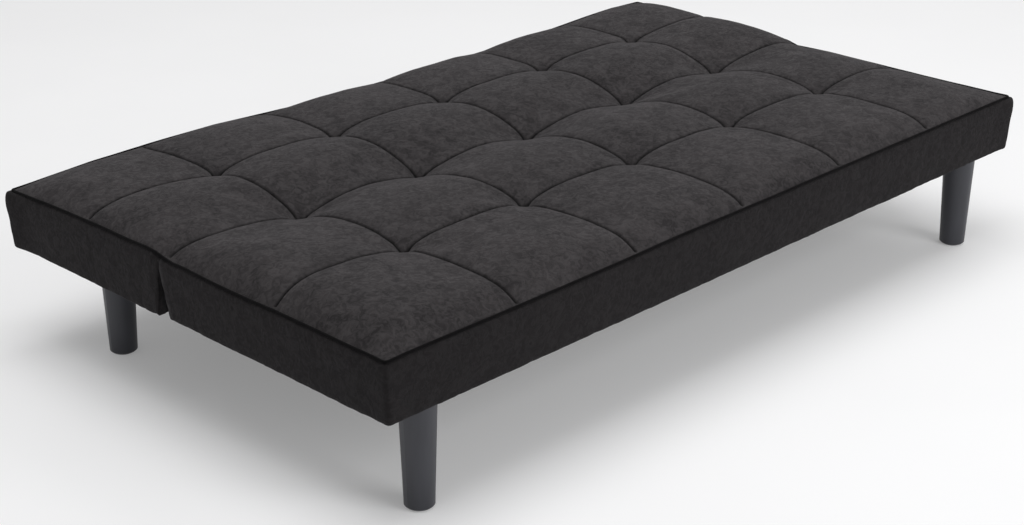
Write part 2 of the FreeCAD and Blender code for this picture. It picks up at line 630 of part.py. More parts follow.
def back_hinge_arm():
    """Moving half of the hinge: head, ratchet sector and a bar that joggles out to the back's end rail."""
    bar_top = BACK_ARM_TOP - PIVOT_Z
    bar_low = bar_top - ARM_BAR
    end_y = BACK_ARM_REACH - ARM_BAR / 2
    joggle_a = SLIT_FOOT - 14.0
    joggle_b = SLIT_FOOT + 2.0
    head = disc(0, 0, HEAD_RADIUS, SECTOR_U, SECTOR_U + SECTOR)
    neck = plate([(0, HEAD_RADIUS), (joggle_a, bar_top), (joggle_a, bar_low), (NECK_FOOT_Y, bar_low),
                  (NECK_LOW_Y, NECK_LOW_Z), (NECK_FRONT_Y, NECK_FRONT_Z)], SECTOR_U, SECTOR_U + SECTOR)
    side_view = plate([(joggle_a - 1.0, bar_low), (end_y, bar_low), (end_y, bar_top), (joggle_a - 1.0, bar_top)],
                      0, HINGE_U).fuse(disc(end_y, bar_low + ARM_BAR / 2, ARM_BAR / 2, 0, HINGE_U))
    edge = [(joggle_a - 1.0, SECTOR_U), (joggle_a, SECTOR_U), (joggle_b, 0), (BACK_ARM_REACH, 0)]
    strip = edge + [(y, u + SECTOR) for y, u in reversed(edge)]
    bar = prism_z([(RAIL_IN - u, HINGE_Y + y) for y, u in strip], 0, 2 * PIVOT_Z).common(side_view)
    body = head.fuse([neck, ratchet_sector(), bar]).removeSplitter()
    holes = [disc(0, 0, PIVOT_RADIUS + RUNNING, 0, HINGE_U)]
    for reach in HINGE_SCREWS:
        holes.append(shank_x(reach, bar_low + ARM_BAR / 2, SCREW_RADIUS, 0, HINGE_U))
    return body.cut(holes)


def pin(y, z, radius, head_radius):
    """Headed pin through both cheeks."""
    shank = disc(y, z, radius - RUNNING, 0, HINGE_U)
    return shank.fuse(disc(y, z, head_radius, HINGE_U, HINGE_U + PIN_HEAD)).removeSplitter()


def pawl():
    """Pawl with its nose and follower stud, drawn home in a notch and then dropped clear."""
    deep = RATCHET_RADIUS - NOTCH_DEPTH
    tip = -(deep + PAWL_CLEARANCE)
    base = -(RATCHET_RADIUS + 1.2)
    half = NOTCH_FLOOR / 2
    nose = [(half, base - 8.8), (half, base), (half - PAWL_CLEARANCE, tip), (-half + PAWL_CLEARANCE, tip),
            (-half - 0.6, base)]
    arm = [(PAWL_PIN_Y, PAWL_PIN_Z - PAWL_HUB)] + nose + [(PAWL_PIN_Y + 7.0, PAWL_PIN_Z + 5.7),
                                                         (PAWL_PIN_Y, PAWL_PIN_Z + PAWL_HUB)]
    body = plate(arm, SECTOR_U, SECTOR_U + SECTOR)
    body = body.fuse([disc(PAWL_PIN_Y, PAWL_PIN_Z, PAWL_HUB, SECTOR_U, SECTOR_U + SECTOR),
                      disc(0, PAWL_PIN_Z - STUD_DEPTH, STUD_SIZE, SECTOR_U, CAM_U + CAM)]).removeSplitter()
    body = body.cut(disc(PAWL_PIN_Y, PAWL_PIN_Z, PAWL_PIN_RADIUS, 0, HINGE_U))
    return turned(body, PAWL_PIN_Y, PAWL_PIN_Z, -PAWL_SWING)


def stud_polar(swing):
    """Distance and angle of the follower stud from the pivot, with the pawl this far from home."""
    angle = math.radians(-swing)
    y = -PAWL_PIN_Y
    z = -STUD_DEPTH
    at_y = PAWL_PIN_Y + y * math.cos(angle) - z * math.sin(angle)
    at_z = PAWL_PIN_Z + y * math.sin(angle) + z * math.cos(angle)
    return math.hypot(at_y, at_z), math.degrees(math.atan2(at_z, at_y))


def lockout_cam():
    """Cam beside the ratchet that holds the pawl's stud clear while the back lies flat."""
    room = STUD_SIZE + 0.5
    held, held_at = stud_polar(PAWL_SWING)
    home, home_at = stud_polar(0.0)
    lobe = held - room
    low = home - room
    ramp_end = home_at - CAM_RATIO * PAWL_SWING
    profile = [polar(lobe, held_at + 16.0), polar(lobe, held_at + 8.0), polar(lobe, held_at)]
    for k in range(1, 5):
        share = k / 4
        profile.append(polar(lobe + (low - lobe) * share, held_at + (ramp_end - held_at) * share))
    profile.append(polar(low, ramp_end - 8.0))
    body = plate([polar(12.0, 0.0)] + profile + [polar(12.0, 180.0)], CAM_U, CAM_U + CAM)
    body = body.fuse(disc(0, 0, 13.0, CAM_U, CAM_U + CAM)).removeSplitter()
    return body.cut(disc(0, 0, PIVOT_RADIUS + RUNNING, 0, HINGE_U))


def pawl_spring():
    """Bowed strip spring from the arm's front wall to under the pawl's stud."""
    wall = PAWL_PIN_Y - PAWL_HUB - PAWL_BOX + 3.0
    stud_y, stud_z = polar(*stud_polar(PAWL_SWING))
    tip = stud_z - STUD_SIZE - 0.3
    heel = PAWL_PIN_Z - 8.0
    bow = PAWL_PIN_Z - PAWL_PIN_RADIUS - 7.0

    def at(y, z):
        return V(RAIL_IN - CAM_U - CAM, HINGE_Y + y, PIVOT_Z + z)

    strip = Part.Wire([
        Part.Arc(at(wall, heel), at(PAWL_PIN_Y, bow), at(stud_y, tip)).toShape(),
        Part.LineSegment(at(stud_y, tip), at(stud_y, tip - SPRING_STRIP)).toShape(),
        Part.Arc(at(stud_y, tip - SPRING_STRIP), at(PAWL_PIN_Y, bow - SPRING_STRIP),
                 at(wall, heel - SPRING_STRIP)).toShape(),
        Part.LineSegment(at(wall, heel - SPRING_STRIP), at(wall, heel)).toShape(),
    ])
    return Part.Face(strip).extrude(V(CAM, 0, 0))


def hinge_screws(sign, z, depth):
    """Coach screws that hold one hinge arm to an end rail."""
    screws = []
    for reach in HINGE_SCREWS:
        shank = shank_x(sign * reach, z, SCREW_RADIUS, -SCREW_DEPTH, depth)
        head = plate(ring_points(sign * reach, z, SCREW_HEAD, 6), depth, depth + SCREW_HEAD_HEIGHT)
        screws.append(shank.fuse(head).removeSplitter())
    return screws


def main():
    """Build and write every sub-part."""
    os.makedirs("parts", exist_ok=True)
    save("seat_cushion", cushion(-1, TUFT_ROW_GAP, FRONT_IN))
    save("back_cushion", cushion(1, BACK_TUFT_ROW_GAP, FAR_IN))
    save("seat_front_border", long_border(-1, FRONT_IN, SEAT_UNDERSIDE))
    save("back_far_border", long_border(1, FAR_IN, BACK_UNDERSIDE))
    save_pair("seat_end_border", end_border(-1, FRONT_IN, SEAT_UNDERSIDE))
    save_pair("back_end_border", end_border(1, FAR_IN, BACK_UNDERSIDE))
    save("seat_rear_border", seat_rear_border())
    save("back_near_border", back_near_border())
    save("seat_piping", piping(-1, FRONT_IN))
    save("back_piping", piping(1, FAR_IN))
    frame_parts("seat", -1, FRONT_IN, REAR_RAIL_Y, SEAT_FRAME_LOW)
    frame_parts("back", 1, FAR_IN, NEAR_RAIL_Y, BACK_FRAME_LOW)
    save("seat_bottom_cover", seat_cover())
    save("back_bottom_cover", back_cover())
    save("front_legs", both_ends(leg(LEG_X, FRONT_LEG_Y, SEAT_UNDERSIDE - LEG_PLATE)))
    save("rear_legs", both_ends(leg(LEG_X, REAR_LEG_Y, ARM_TOP - ARM_STEEL)))
    save("foot_glides", both_ends(Part.makeCompound([glide(LEG_X, FRONT_LEG_Y), glide(LEG_X, REAR_LEG_Y)])))
    save("front_leg_plates", both_ends(leg_plate()))
    save("leg_studs", leg_studs())
    save_pair("rear_leg_arm", rear_arm())
    save("rear_arm_screws", arm_screws())
    save("rest_buffers", rest_buffers())
    save_pair("seat_hinge_arm", seat_hinge_arm())
    save_pair("back_hinge_arm", back_hinge_arm())
    save("hinge_pivots", both_ends(pin(0, 0, PIVOT_RADIUS, 10.0)))
    save("pawl_pins", both_ends(pin(PAWL_PIN_Y, PAWL_PIN_Z, PAWL_PIN_RADIUS, 7.0)))
    save_pair("pawl", pawl())
    save_pair("lockout_cam", lockout_cam())
    save_pair("pawl_spring", pawl_spring())
    seat_screws = hinge_screws(-1, seat_screw_height(), OUTER_CHEEK)
    save("seat_hinge_screws", both_ends(Part.makeCompound(seat_screws)))
    back_screws = hinge_screws(1, back_screw_height(), SECTOR)
    save("back_hinge_screws", both_ends(Part.makeCompound(back_screws)))


main()
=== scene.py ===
"""Dresses the click clack sofa bed: tufted suede top, padded borders, piping, cloths, finishes and stage.

Everything is in metres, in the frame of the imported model: +X along the length, +Y from the front edge to the
far edge of the back, +Z up. The seat is the half in front of the hinge line, the back is the half behind it.
"""

import json
import logging
import math
from dataclasses import dataclass, field
from enum import Enum
from typing import Callable, Sequence

import bmesh
import bpy
import numpy as np
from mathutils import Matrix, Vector, noise


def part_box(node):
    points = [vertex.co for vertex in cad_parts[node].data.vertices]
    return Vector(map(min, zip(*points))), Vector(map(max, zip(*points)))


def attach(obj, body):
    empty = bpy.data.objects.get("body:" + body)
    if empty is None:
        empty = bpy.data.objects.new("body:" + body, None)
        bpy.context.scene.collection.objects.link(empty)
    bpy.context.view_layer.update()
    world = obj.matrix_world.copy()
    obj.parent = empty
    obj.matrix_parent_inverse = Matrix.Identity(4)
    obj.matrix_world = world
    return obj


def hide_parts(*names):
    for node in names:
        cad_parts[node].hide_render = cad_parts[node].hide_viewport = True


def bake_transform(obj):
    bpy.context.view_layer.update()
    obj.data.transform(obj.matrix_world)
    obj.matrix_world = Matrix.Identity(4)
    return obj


logging.basicConfig(level=logging.INFO, format="%(name)s: %(message)s")
log = logging.getLogger("sofa_bed")

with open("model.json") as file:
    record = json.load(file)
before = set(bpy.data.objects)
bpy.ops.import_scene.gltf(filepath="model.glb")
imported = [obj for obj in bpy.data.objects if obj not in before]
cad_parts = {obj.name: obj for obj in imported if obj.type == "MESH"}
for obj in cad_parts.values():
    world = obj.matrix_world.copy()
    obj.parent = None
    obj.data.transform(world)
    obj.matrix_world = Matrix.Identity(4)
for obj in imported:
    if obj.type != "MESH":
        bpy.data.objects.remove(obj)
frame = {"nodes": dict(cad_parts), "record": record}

MM = 0.001
SEAT = "seat"
BACK = "back"
# The line that the back folds about, and the height of its pivot
HINGE_Y = 0.038
PIVOT_Z = 0.300
# The piped seam: its height, and where it lies from the middle of the bed
SEAM_Z = 0.318
SEAM_X = 0.8935
SEAM_Y = 0.5255
# Outer faces of the timber frame
RAIL_X = 0.880
RAIL_Y = 0.512
# Points nearer than this are one point
WELD = 1e-6
# Spacing of the wave texture's bands at a scale of one, in metres
BAND = math.pi / 10
# Vertex layer of painted shade: how dark the sewn grooves and tuft pits are painted
SEAM_SHADE_LAYER = "seam"


class Side(Enum):
    """Half of the bed."""

    SEAT = -1
    BACK = 1

    @property
    def body(self) -> str:
        """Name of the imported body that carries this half."""
        return SEAT if self is Side.SEAT else BACK

    @property
    def underside(self) -> float:
        """Height of this half's lowest cloth above the floor."""
        return 0.200 if self is Side.SEAT else 0.196


class End(Enum):
    """End of the bed."""

    LEFT = -1
    RIGHT = 1

    @property
    def label(self) -> str:
        """Word for this end in the names of pieces."""
        return self.name.lower()


def linear(code: str) -> tuple[float, float, float, float]:
    """Turn an sRGB hex colour into the linear values that a shader takes.

    Args:
        code: Six hex digits.

    Returns:
        Red, green, blue and an alpha of one.
    """
    parts = [int(code[i:i + 2], 16) / 255 for i in (0, 2, 4)]
    done = [c / 12.92 if c <= 0.04045 else ((c + 0.055) / 1.055) ** 2.4 for c in parts]
    return (done[0], done[1], done[2], 1.0)


def smooth(low: float, high: float, value: np.ndarray) -> np.ndarray:
    """Rise smoothly from 0 at low to 1 at high.

    Args:
        low: Value where the rise starts.
        high: Value where it ends.
        value: Values to place on it.

    Returns:
        Share of the rise for each value.
    """
    share = np.clip((value - low) / (high - low), 0, 1)
    return share * share * (3 - 2 * share)


def wander(points: np.ndarray, scale: float, seed: float, octaves: int = 2) -> np.ndarray:
    """Smooth noise between about -1 and 1 at each point.

    Args:
        points: One row of x, y, z for each point, in metres.
        scale: Size of the lumps in metres.
        seed: Where in the noise to start.
        octaves: How many finer layers to add.

    Returns:
        One number for each point.
    """
    out = np.zeros(len(points))
    for i, p in enumerate(points / scale):
        out[i] = noise.fractal(Vector((p[0] + seed, p[1] - seed, p[2] + 0.5 * seed)), 0.6, 2.0, octaves)
    return out


@dataclass(frozen=True)
class SeamLie:
    """How far the hand-sewn seam strays from its plan: corners pulled out, edges bowed, a dip at the hinge.

    Each table gives a place along an edge, the shift outwards and the shift upwards there, in mm.
    """

    left_end: tuple[tuple[float, float, float], ...] = (
        (-0.530, 3, -4), (-0.45, 3, -4), (-0.35, 2, -4), (-0.25, 2, -4), (-0.18, 2, -6), (-0.10, 2, -6),
        (-0.04, 1, -5), (0.000, -1, -5), (0.030, -2, -7), (0.050, -2, -5), (0.075, 0, 2), (0.100, 1, 5),
        (0.15, 1, 3), (0.25, 0, 2), (0.35, 0, 0), (0.42, 1, -2), (0.48, 3, -4), (0.530, 4, -5),
    )
    right_end: tuple[tuple[float, float, float], ...] = (
        (-0.530, 7, 1), (-0.49, 3, 1), (-0.40, 0, 0), (-0.25, 0, -2), (-0.06, 0, -3), (0.010, -2, -5),
        (0.030, -2, -6), (0.060, 0, 0), (0.10, 0, 2), (0.30, 0, 0), (0.40, 0, 2), (0.530, 0, -2),
    )
    front: tuple[tuple[float, float, float], ...] = (
        (-0.90, 0, -4), (-0.80, 0, -3), (-0.60, 1, -3), (-0.35, 0, -3), (-0.20, 0, 0), (0.10, 0, -1),
        (0.30, 0, 0), (0.78, 0, 0), (0.90, 2, 1),
    )
    far: tuple[tuple[float, float, float], ...] = (
        (-0.90, 6, -5), (-0.85, 1, -1), (-0.72, 0, 5), (-0.58, 0, 7), (-0.42, -1, 6), (-0.27, -4, -1),
        (-0.15, -7, -6), (0.05, -8, -7), (0.35, -8, -7), (0.55, -5, -5), (0.70, -2, 0), (0.80, 0, 1),
        (0.90, 0, -3),
    )
    reach: float = 0.045

    def shift(self, points: np.ndarray, hold: np.ndarray) -> np.ndarray:
        """Move points with the seam that they lie near.

        Args:
            points: One row of x, y, z for each point.
            hold: Share of the seam's own shift that each point takes.

        Returns:
            The moved points.
        """
        x, y = points[:, 0], points[:, 1]
        out = points.copy()
        edges = (
            (self.left_end, y, x + SEAM_X, 0, -1.0), (self.right_end, y, SEAM_X - x, 0, 1.0),
            (self.front, x, y + SEAM_Y, 1, -1.0), (self.far, x, SEAM_Y - y, 1, 1.0),
        )
        rise = np.zeros(len(points))
        total = np.zeros(len(points))
        for table, along, inward, axis, way in edges:
            stops, outward, upward = (np.array(column, float) for column in zip(*table))
            near = hold * np.exp(-(np.maximum(inward, 0) / self.reach) ** 2)
            out[:, axis] += way * MM * near * np.interp(along, stops, outward)
            rise += near * near * np.interp(along, stops, upward)
            total += near
        out[:, 2] += MM * rise / np.maximum(total, 1e-6) * np.minimum(total, 1.0)
        return out


LIE = SeamLie()


# Node trees and finishes


def add(tree: bpy.types.NodeTree, kind: str, inputs: dict | None = None,
        **settings: object) -> bpy.types.Node:
    """Add a node to a material or a world, with its settings and links.

    Args:
        tree: Node tree to add to.
        kind: Node type, such as "ShaderNodeTexNoise".
        inputs: Plain value, or socket to link from, for each input's name or number.
        settings: Properties of the node itself.

    Returns:
        The new node.
    """
    node = tree.nodes.new(kind)
    for key, value in settings.items():
        setattr(node, key, value)
    for key, value in (inputs or {}).items():
        if isinstance(value, bpy.types.NodeSocket):
            tree.links.new(value, node.inputs[key])
        else:
            node.inputs[key].default_value = value
    return node


@dataclass(frozen=True)
class Finish:
    """Surface of one real material. Each kind lays its own nodes."""

    name: str

    def make(self) -> bpy.types.Material:
        """Build the material."""
        material = bpy.data.materials.new(self.name)
        material.use_nodes = True
        tree = material.node_tree
        tree.nodes.clear()
        shader = self.lay(tree)
        add(tree, "ShaderNodeOutputMaterial", {"Surface": shader.outputs[0]})
        return material

    def lay(self, tree: bpy.types.NodeTree) -> bpy.types.Node:
        """Add this finish's nodes, and return the shader that the surface shows."""
        raise NotImplementedError


@dataclass(frozen=True)
class BrushedSuede(Finish):
    """Polyester microfibre suede: fine cloth, dyed charcoal, whose face is brushed to a short nap.

    The nap lies this way in one place and that way in the next, so the eye sees soft clouds of lighter and
    darker cloth, no gloss, and a faint sheen where it turns away. The seams and the tuft pits are painted
    nearly black: painted shade in their grooves.
    """

    dark: str
    light: str
    mottle: float
    sheen: float

    def lay(self, tree: bpy.types.NodeTree) -> bpy.types.Node:
        """Cloud the nap, paint shade into the seams and tuft pits, and raise the cloth."""
        at = add(tree, "ShaderNodeTexCoord").outputs["Object"]
        # Marks of a hand are about 48 mm across, marks of a finger 14 mm, and the dye drifts over 300 mm
        hand = add(tree, "ShaderNodeTexNoise", {"Vector": at, "Scale": 1 / (48 * MM), "Detail": 5.0,
                                                "Roughness": 0.62, "Distortion": 0.8}).outputs["Fac"]
        finger = add(tree, "ShaderNodeTexNoise", {"Vector": at, "Scale": 1 / (14 * MM), "Detail": 5.0,
                                                  "Roughness": 0.66, "Distortion": 1.2}).outputs["Fac"]
        drift = add(tree, "ShaderNodeTexNoise", {"Vector": at, "Scale": 1 / (300 * MM),
                                                 "Detail": 2.0}).outputs["Fac"]
        hand = add(tree, "ShaderNodeMapRange", {"Value": hand, "From Min": 0.38,
                                                "From Max": 0.64}).outputs["Result"]
        finger = add(tree, "ShaderNodeMapRange", {"Value": finger, "From Min": 0.42,
                                                  "From Max": 0.60}).outputs["Result"]
        drift = add(tree, "ShaderNodeMapRange", {"Value": drift, "From Min": 0.35,
                                                 "From Max": 0.65}).outputs["Result"]
        share = add(tree, "ShaderNodeMath", {0: drift, 1: 0.18}, operation="MULTIPLY").outputs["Value"]
        for mark, weight in ((hand, 0.44), (finger, 0.40)):
            share = add(tree, "ShaderNodeMath", {0: mark, 1: weight * self.mottle, 2: share},
                        operation="MULTIPLY_ADD").outputs["Value"]
        nap = add(tree, "ShaderNodeMix", {"Factor": share, 6: linear(self.dark), 7: linear(self.light)},
                  data_type="RGBA").outputs[2]
        # Painted shade: the sewn grooves and tuft pits are painted nearly black, as the shade in them
        seam = add(tree, "ShaderNodeAttribute", attribute_name=SEAM_SHADE_LAYER).outputs["Fac"]
        colour = add(tree, "ShaderNodeMix", {"Factor": seam, 6: nap, 7: linear("040404")},
                     data_type="RGBA").outputs[2]
        # The fibres are under 0.02 mm thick, too fine to show, so they are drawn 1.1 mm across
        fibre = add(tree, "ShaderNodeTexNoise", {"Vector": at, "Scale": 1 / (1.1 * MM), "Detail": 2.0,
                                                 "Roughness": 0.6}).outputs["Fac"]
        bump = add(tree, "ShaderNodeBump", {"Height": hand, "Distance": 0.6 * MM}).outputs["Normal"]
        bump = add(tree, "ShaderNodeBump", {"Height": finger, "Distance": 0.3 * MM,
                                            "Normal": bump}).outputs["Normal"]
        bump = add(tree, "ShaderNodeBump", {"Height": fibre, "Distance": 0.16 * MM,
                                            "Normal": bump}).outputs["Normal"]
        dull = add(tree, "ShaderNodeMapRange", {"Value": finger, "To Min": 0.97,
                                                "To Max": 0.82}).outputs["Result"]
        return add(tree, "ShaderNodeBsdfPrincipled", {
            "Base Color": colour, "Roughness": dull, "Normal": bump, "Specular IOR Level": 0.18,
            "Sheen Weight": self.sheen, "Sheen Roughness": 0.45, "Sheen Tint": linear("8d8b90")})


@dataclass(frozen=True)
class WovenPiping(Finish):
    """Plain-woven cotton cut on the slant and sewn over a cord. Its near-black colour is partly the cloth's
    own dark tone and partly painted shade along the piped seam.

    The slanted threads show as a fine twist round the cord, matt, and a little greyer where hands rub it.
    """

    colour: str
    worn: str

    def lay(self, tree: bpy.types.NodeTree) -> bpy.types.Node:
        """Slant the threads and grey the rubbed places."""
        at = add(tree, "ShaderNodeTexCoord").outputs["Object"]
        # Threads of such cotton lie 0.3 mm apart, too fine to show, so they are drawn 0.75 mm apart
        thread = add(tree, "ShaderNodeTexWave", {"Vector": at, "Scale": BAND / (0.748 * MM),
                                                 "Distortion": 1.2, "Detail": 1.0},
                     bands_direction="DIAGONAL").outputs["Fac"]
        rub = add(tree, "ShaderNodeTexNoise", {"Vector": at, "Scale": 1 / (20 * MM),
                                               "Detail": 3.0}).outputs["Fac"]
        rub = add(tree, "ShaderNodeMapRange", {"Value": rub, "From Min": 0.4, "From Max": 0.7,
                                               "To Max": 0.5}).outputs["Result"]
        colour = add(tree, "ShaderNodeMix", {"Factor": rub, 6: linear(self.colour), 7: linear(self.worn)},
                     data_type="RGBA").outputs[2]
        lump = add(tree, "ShaderNodeTexNoise", {"Vector": at, "Scale": 1 / (2 * MM),
                                                "Detail": 3.0}).outputs["Fac"]
        bump = add(tree, "ShaderNodeBump", {"Height": thread, "Distance": 0.12 * MM}).outputs["Normal"]
        bump = add(tree, "ShaderNodeBump", {"Height": lump, "Distance": 0.2 * MM,
                                            "Normal": bump}).outputs["Normal"]
        return add(tree, "ShaderNodeBsdfPrincipled", {
            "Base Color": colour, "Roughness": 0.92, "Normal": bump, "Specular IOR Level": 0.06,
            "Sheen Weight": 0.02, "Sheen Roughness": 0.5})


@dataclass(frozen=True)
class SpunbondCloth(Finish):
    """Spun-bonded black polypropylene, pressed with a grid of dimples: thin, matt and slightly hairy."""

    colour: str

    def lay(self, tree: bpy.types.NodeTree) -> bpy.types.Node:
        """Press the dimples and add the hairs between them."""
        at = add(tree, "ShaderNodeTexCoord").outputs["Object"]
        # The calender's pins stand 2 mm apart, and tangled filaments clump over 4 mm
        dimple = add(tree, "ShaderNodeTexVoronoi", {"Vector": at, "Scale": 1 / (2.0833 * MM),
                                                    "Randomness": 0.25}, feature="F1").outputs["Distance"]
        hair = add(tree, "ShaderNodeTexNoise", {"Vector": at, "Scale": 1 / (4 * MM), "Detail": 4.0,
                                                "Roughness": 0.7}).outputs["Fac"]
        share = add(tree, "ShaderNodeMapRange", {"Value": hair, "From Min": 0.35,
                                                 "From Max": 0.7}).outputs["Result"]
        colour = add(tree, "ShaderNodeMix", {"Factor": share, 6: linear(self.colour), 7: linear("1c1c1d")},
                     data_type="RGBA").outputs[2]
        bump = add(tree, "ShaderNodeBump", {"Height": dimple, "Distance": 0.2 * MM}).outputs["Normal"]
        bump = add(tree, "ShaderNodeBump", {"Height": hair, "Distance": 0.3 * MM,
                                            "Normal": bump}).outputs["Normal"]
        return add(tree, "ShaderNodeBsdfPrincipled", {
            "Base Color": colour, "Roughness": 0.93, "Normal": bump, "Specular IOR Level": 0.2,
            "Sheen Weight": 0.1})


@dataclass(frozen=True)
class WovenElastic(Finish):
    """Webbing woven of jute-coloured yarn over rubber threads: ribbed both ways and dull, with painted shade
    darkening its hollows.
    """

    def lay(self, tree: bpy.types.NodeTree) -> bpy.types.Node:
        """Cross the warp and the weft."""
        at = add(tree, "ShaderNodeTexCoord").outputs["Object"]
        # Rubber threads lie 1.65 mm apart along the strap, and the yarn crosses them every 1.05 mm
        warp = add(tree, "ShaderNodeTexWave", {"Vector": at, "Scale": BAND / (1.6535 * MM)},
                   bands_direction="X").outputs["Fac"]
        weft = add(tree, "ShaderNodeTexWave", {"Vector": at, "Scale": BAND / (1.0472 * MM)},
                   bands_direction="Y").outputs["Fac"]
        # Painted shade: the colour darkens where the warp's ribs sink into hollows
        colour = add(tree, "ShaderNodeMix", {"Factor": warp, 6: linear("8f8063"), 7: linear("c9b994")},
                     data_type="RGBA").outputs[2]
        rib = add(tree, "ShaderNodeMath", {0: warp, 1: weft}, operation="MULTIPLY").outputs["Value"]
        bump = add(tree, "ShaderNodeBump", {"Height": rib, "Distance": 0.4 * MM}).outputs["Normal"]
        return add(tree, "ShaderNodeBsdfPrincipled", {"Base Color": colour, "Roughness": 0.85, "Normal": bump,
                                                      "Sheen Weight": 0.1})


@dataclass(frozen=True)
class PlanedPine(Finish):
    """Pine, sawn along the rail and planed: pale wood with long bands of brown late wood and a few knots."""

    stretch: tuple[float, float, float]

    def lay(self, tree: bpy.types.NodeTree) -> bpy.types.Node:
        """Run the bands along the rail, then add pores and knots."""
        at = add(tree, "ShaderNodeTexCoord").outputs["Object"]
        # Across the rail the bands are 12 mm apart and the pores 0.8 mm wide, and both run far along it
        run = add(tree, "ShaderNodeMapping", {"Vector": at, "Scale": self.stretch}).outputs["Vector"]
        bands = add(tree, "ShaderNodeTexWave", {"Vector": run, "Scale": BAND / (19.635 * MM),
                                                "Distortion": 5.0, "Detail": 3.0, "Detail Scale": 1.2},
                    bands_direction="Z").outputs["Fac"]
        close = add(tree, "ShaderNodeMapping", {"Vector": run, "Scale": (3, 3, 3)}).outputs["Vector"]
        pores = add(tree, "ShaderNodeTexNoise", {"Vector": close, "Scale": 1 / (4 * MM), "Detail": 4.0,
                                                 "Roughness": 0.6}).outputs["Fac"]
        # Knots come about every 250 mm and are 10 mm across
        apart = add(tree, "ShaderNodeMapping", {"Vector": at, "Scale": (2, 2, 3)}).outputs["Vector"]
        knot = add(tree, "ShaderNodeTexVoronoi", {"Vector": apart,
                                                  "Scale": 1 / (500 * MM)}).outputs["Distance"]
        late = add(tree, "ShaderNodeMapRange", {"Value": bands, "From Min": 0.2,
                                                "From Max": 0.95}).outputs["Result"]
        knotty = add(tree, "ShaderNodeMapRange", {"Value": knot, "From Min": 0.02, "From Max": 0.05,
                                                  "To Min": 0.75, "To Max": 0.0}).outputs["Result"]
        wood = add(tree, "ShaderNodeMix", {"Factor": late, 6: linear("c9a878"), 7: linear("a27c4b")},
                   data_type="RGBA").outputs[2]
        wood = add(tree, "ShaderNodeMix", {"Factor": knotty, 6: wood, 7: linear("5b3b1f")},
                   data_type="RGBA").outputs[2]
        bump = add(tree, "ShaderNodeBump", {"Height": bands, "Distance": 0.2 * MM}).outputs["Normal"]
        bump = add(tree, "ShaderNodeBump", {"Height": pores, "Distance": 0.2 * MM,
                                            "Normal": bump}).outputs["Normal"]
        dull = add(tree, "ShaderNodeMapRange", {"Value": pores, "From Min": 0.3, "From Max": 0.7,
                                                "To Min": 0.72, "To Max": 0.58}).outputs["Result"]
        return add(tree, "ShaderNodeBsdfPrincipled", {"Base Color": wood, "Roughness": dull, "Normal": bump,
                                                      "Specular IOR Level": 0.3})


@dataclass(frozen=True)
class PowderCoatedSteel(Finish):
    """Pressed steel, powder-coated black and baked: satin, with a fine orange peel and some dust."""

    colour: str

    def lay(self, tree: bpy.types.NodeTree) -> bpy.types.Node:
        """Dimple the coat and dust it."""
        at = add(tree, "ShaderNodeTexCoord").outputs["Object"]
        # The orange peel's lumps are 1.2 mm across, and dust lies in patches of 30 mm
        peel = add(tree, "ShaderNodeTexNoise", {"Vector": at, "Scale": 1 / (1.2 * MM),
                                                "Detail": 2.0}).outputs["Fac"]
        dust = add(tree, "ShaderNodeTexNoise", {"Vector": at, "Scale": 1 / (30 * MM), "Detail": 4.0,
                                                "Roughness": 0.6}).outputs["Fac"]
        dust = add(tree, "ShaderNodeMapRange", {"Value": dust, "From Min": 0.45,
                                                "From Max": 0.75}).outputs["Result"]
        share = add(tree, "ShaderNodeMath", {0: dust, 1: 0.35}, operation="MULTIPLY").outputs["Value"]
        colour = add(tree, "ShaderNodeMix", {"Factor": share, 6: linear(self.colour), 7: linear("3a3938")},
                     data_type="RGBA").outputs[2]
        bump = add(tree, "ShaderNodeBump", {"Height": peel, "Distance": 0.06 * MM}).outputs["Normal"]
        dull = add(tree, "ShaderNodeMapRange", {"Value": dust, "To Min": 0.42,
                                                "To Max": 0.62}).outputs["Result"]
        return add(tree, "ShaderNodeBsdfPrincipled", {"Base Color": colour, "Roughness": dull,
                                                      "Normal": bump})


@dataclass(frozen=True)
class ZincPlatedSteel(Finish):
    """Pressed or turned steel, zinc-plated: bright metal with a drawn grain and a faint yellow bloom."""

    colour: str

    def lay(self, tree: bpy.types.NodeTree) -> bpy.types.Node:
        """Draw the grain and tint the plating."""
        at = add(tree, "ShaderNodeTexCoord").outputs["Object"]
        # The drawn grain is 2 mm long and 0.15 mm wide, and the plating's bloom comes in patches of 12 mm
        drawn = add(tree, "ShaderNodeMapping", {"Vector": at, "Scale": (1, 1, 14)}).outputs["Vector"]
        grain = add(tree, "ShaderNodeTexNoise", {"Vector": drawn, "Scale": 1 / (2 * MM), "Detail": 3.0,
                                                 "Roughness": 0.6}).outputs["Fac"]
        bloom = add(tree, "ShaderNodeTexNoise", {"Vector": at, "Scale": 1 / (12 * MM),
                                                 "Detail": 3.0}).outputs["Fac"]
        bloom = add(tree, "ShaderNodeMapRange", {"Value": bloom, "From Min": 0.4,
                                                 "From Max": 0.7}).outputs["Result"]
        colour = add(tree, "ShaderNodeMix", {"Factor": bloom, 6: linear(self.colour), 7: linear("b5ae98")},
                     data_type="RGBA").outputs[2]
        bump = add(tree, "ShaderNodeBump", {"Height": grain, "Distance": 0.04 * MM}).outputs["Normal"]
        dull = add(tree, "ShaderNodeMapRange", {"Value": grain, "From Min": 0.3, "From Max": 0.7,
                                                "To Min": 0.28, "To Max": 0.45}).outputs["Result"]
        return add(tree, "ShaderNodeBsdfPrincipled", {"Base Color": colour, "Roughness": dull, "Normal": bump,
                                                      "Metallic": 1.0})


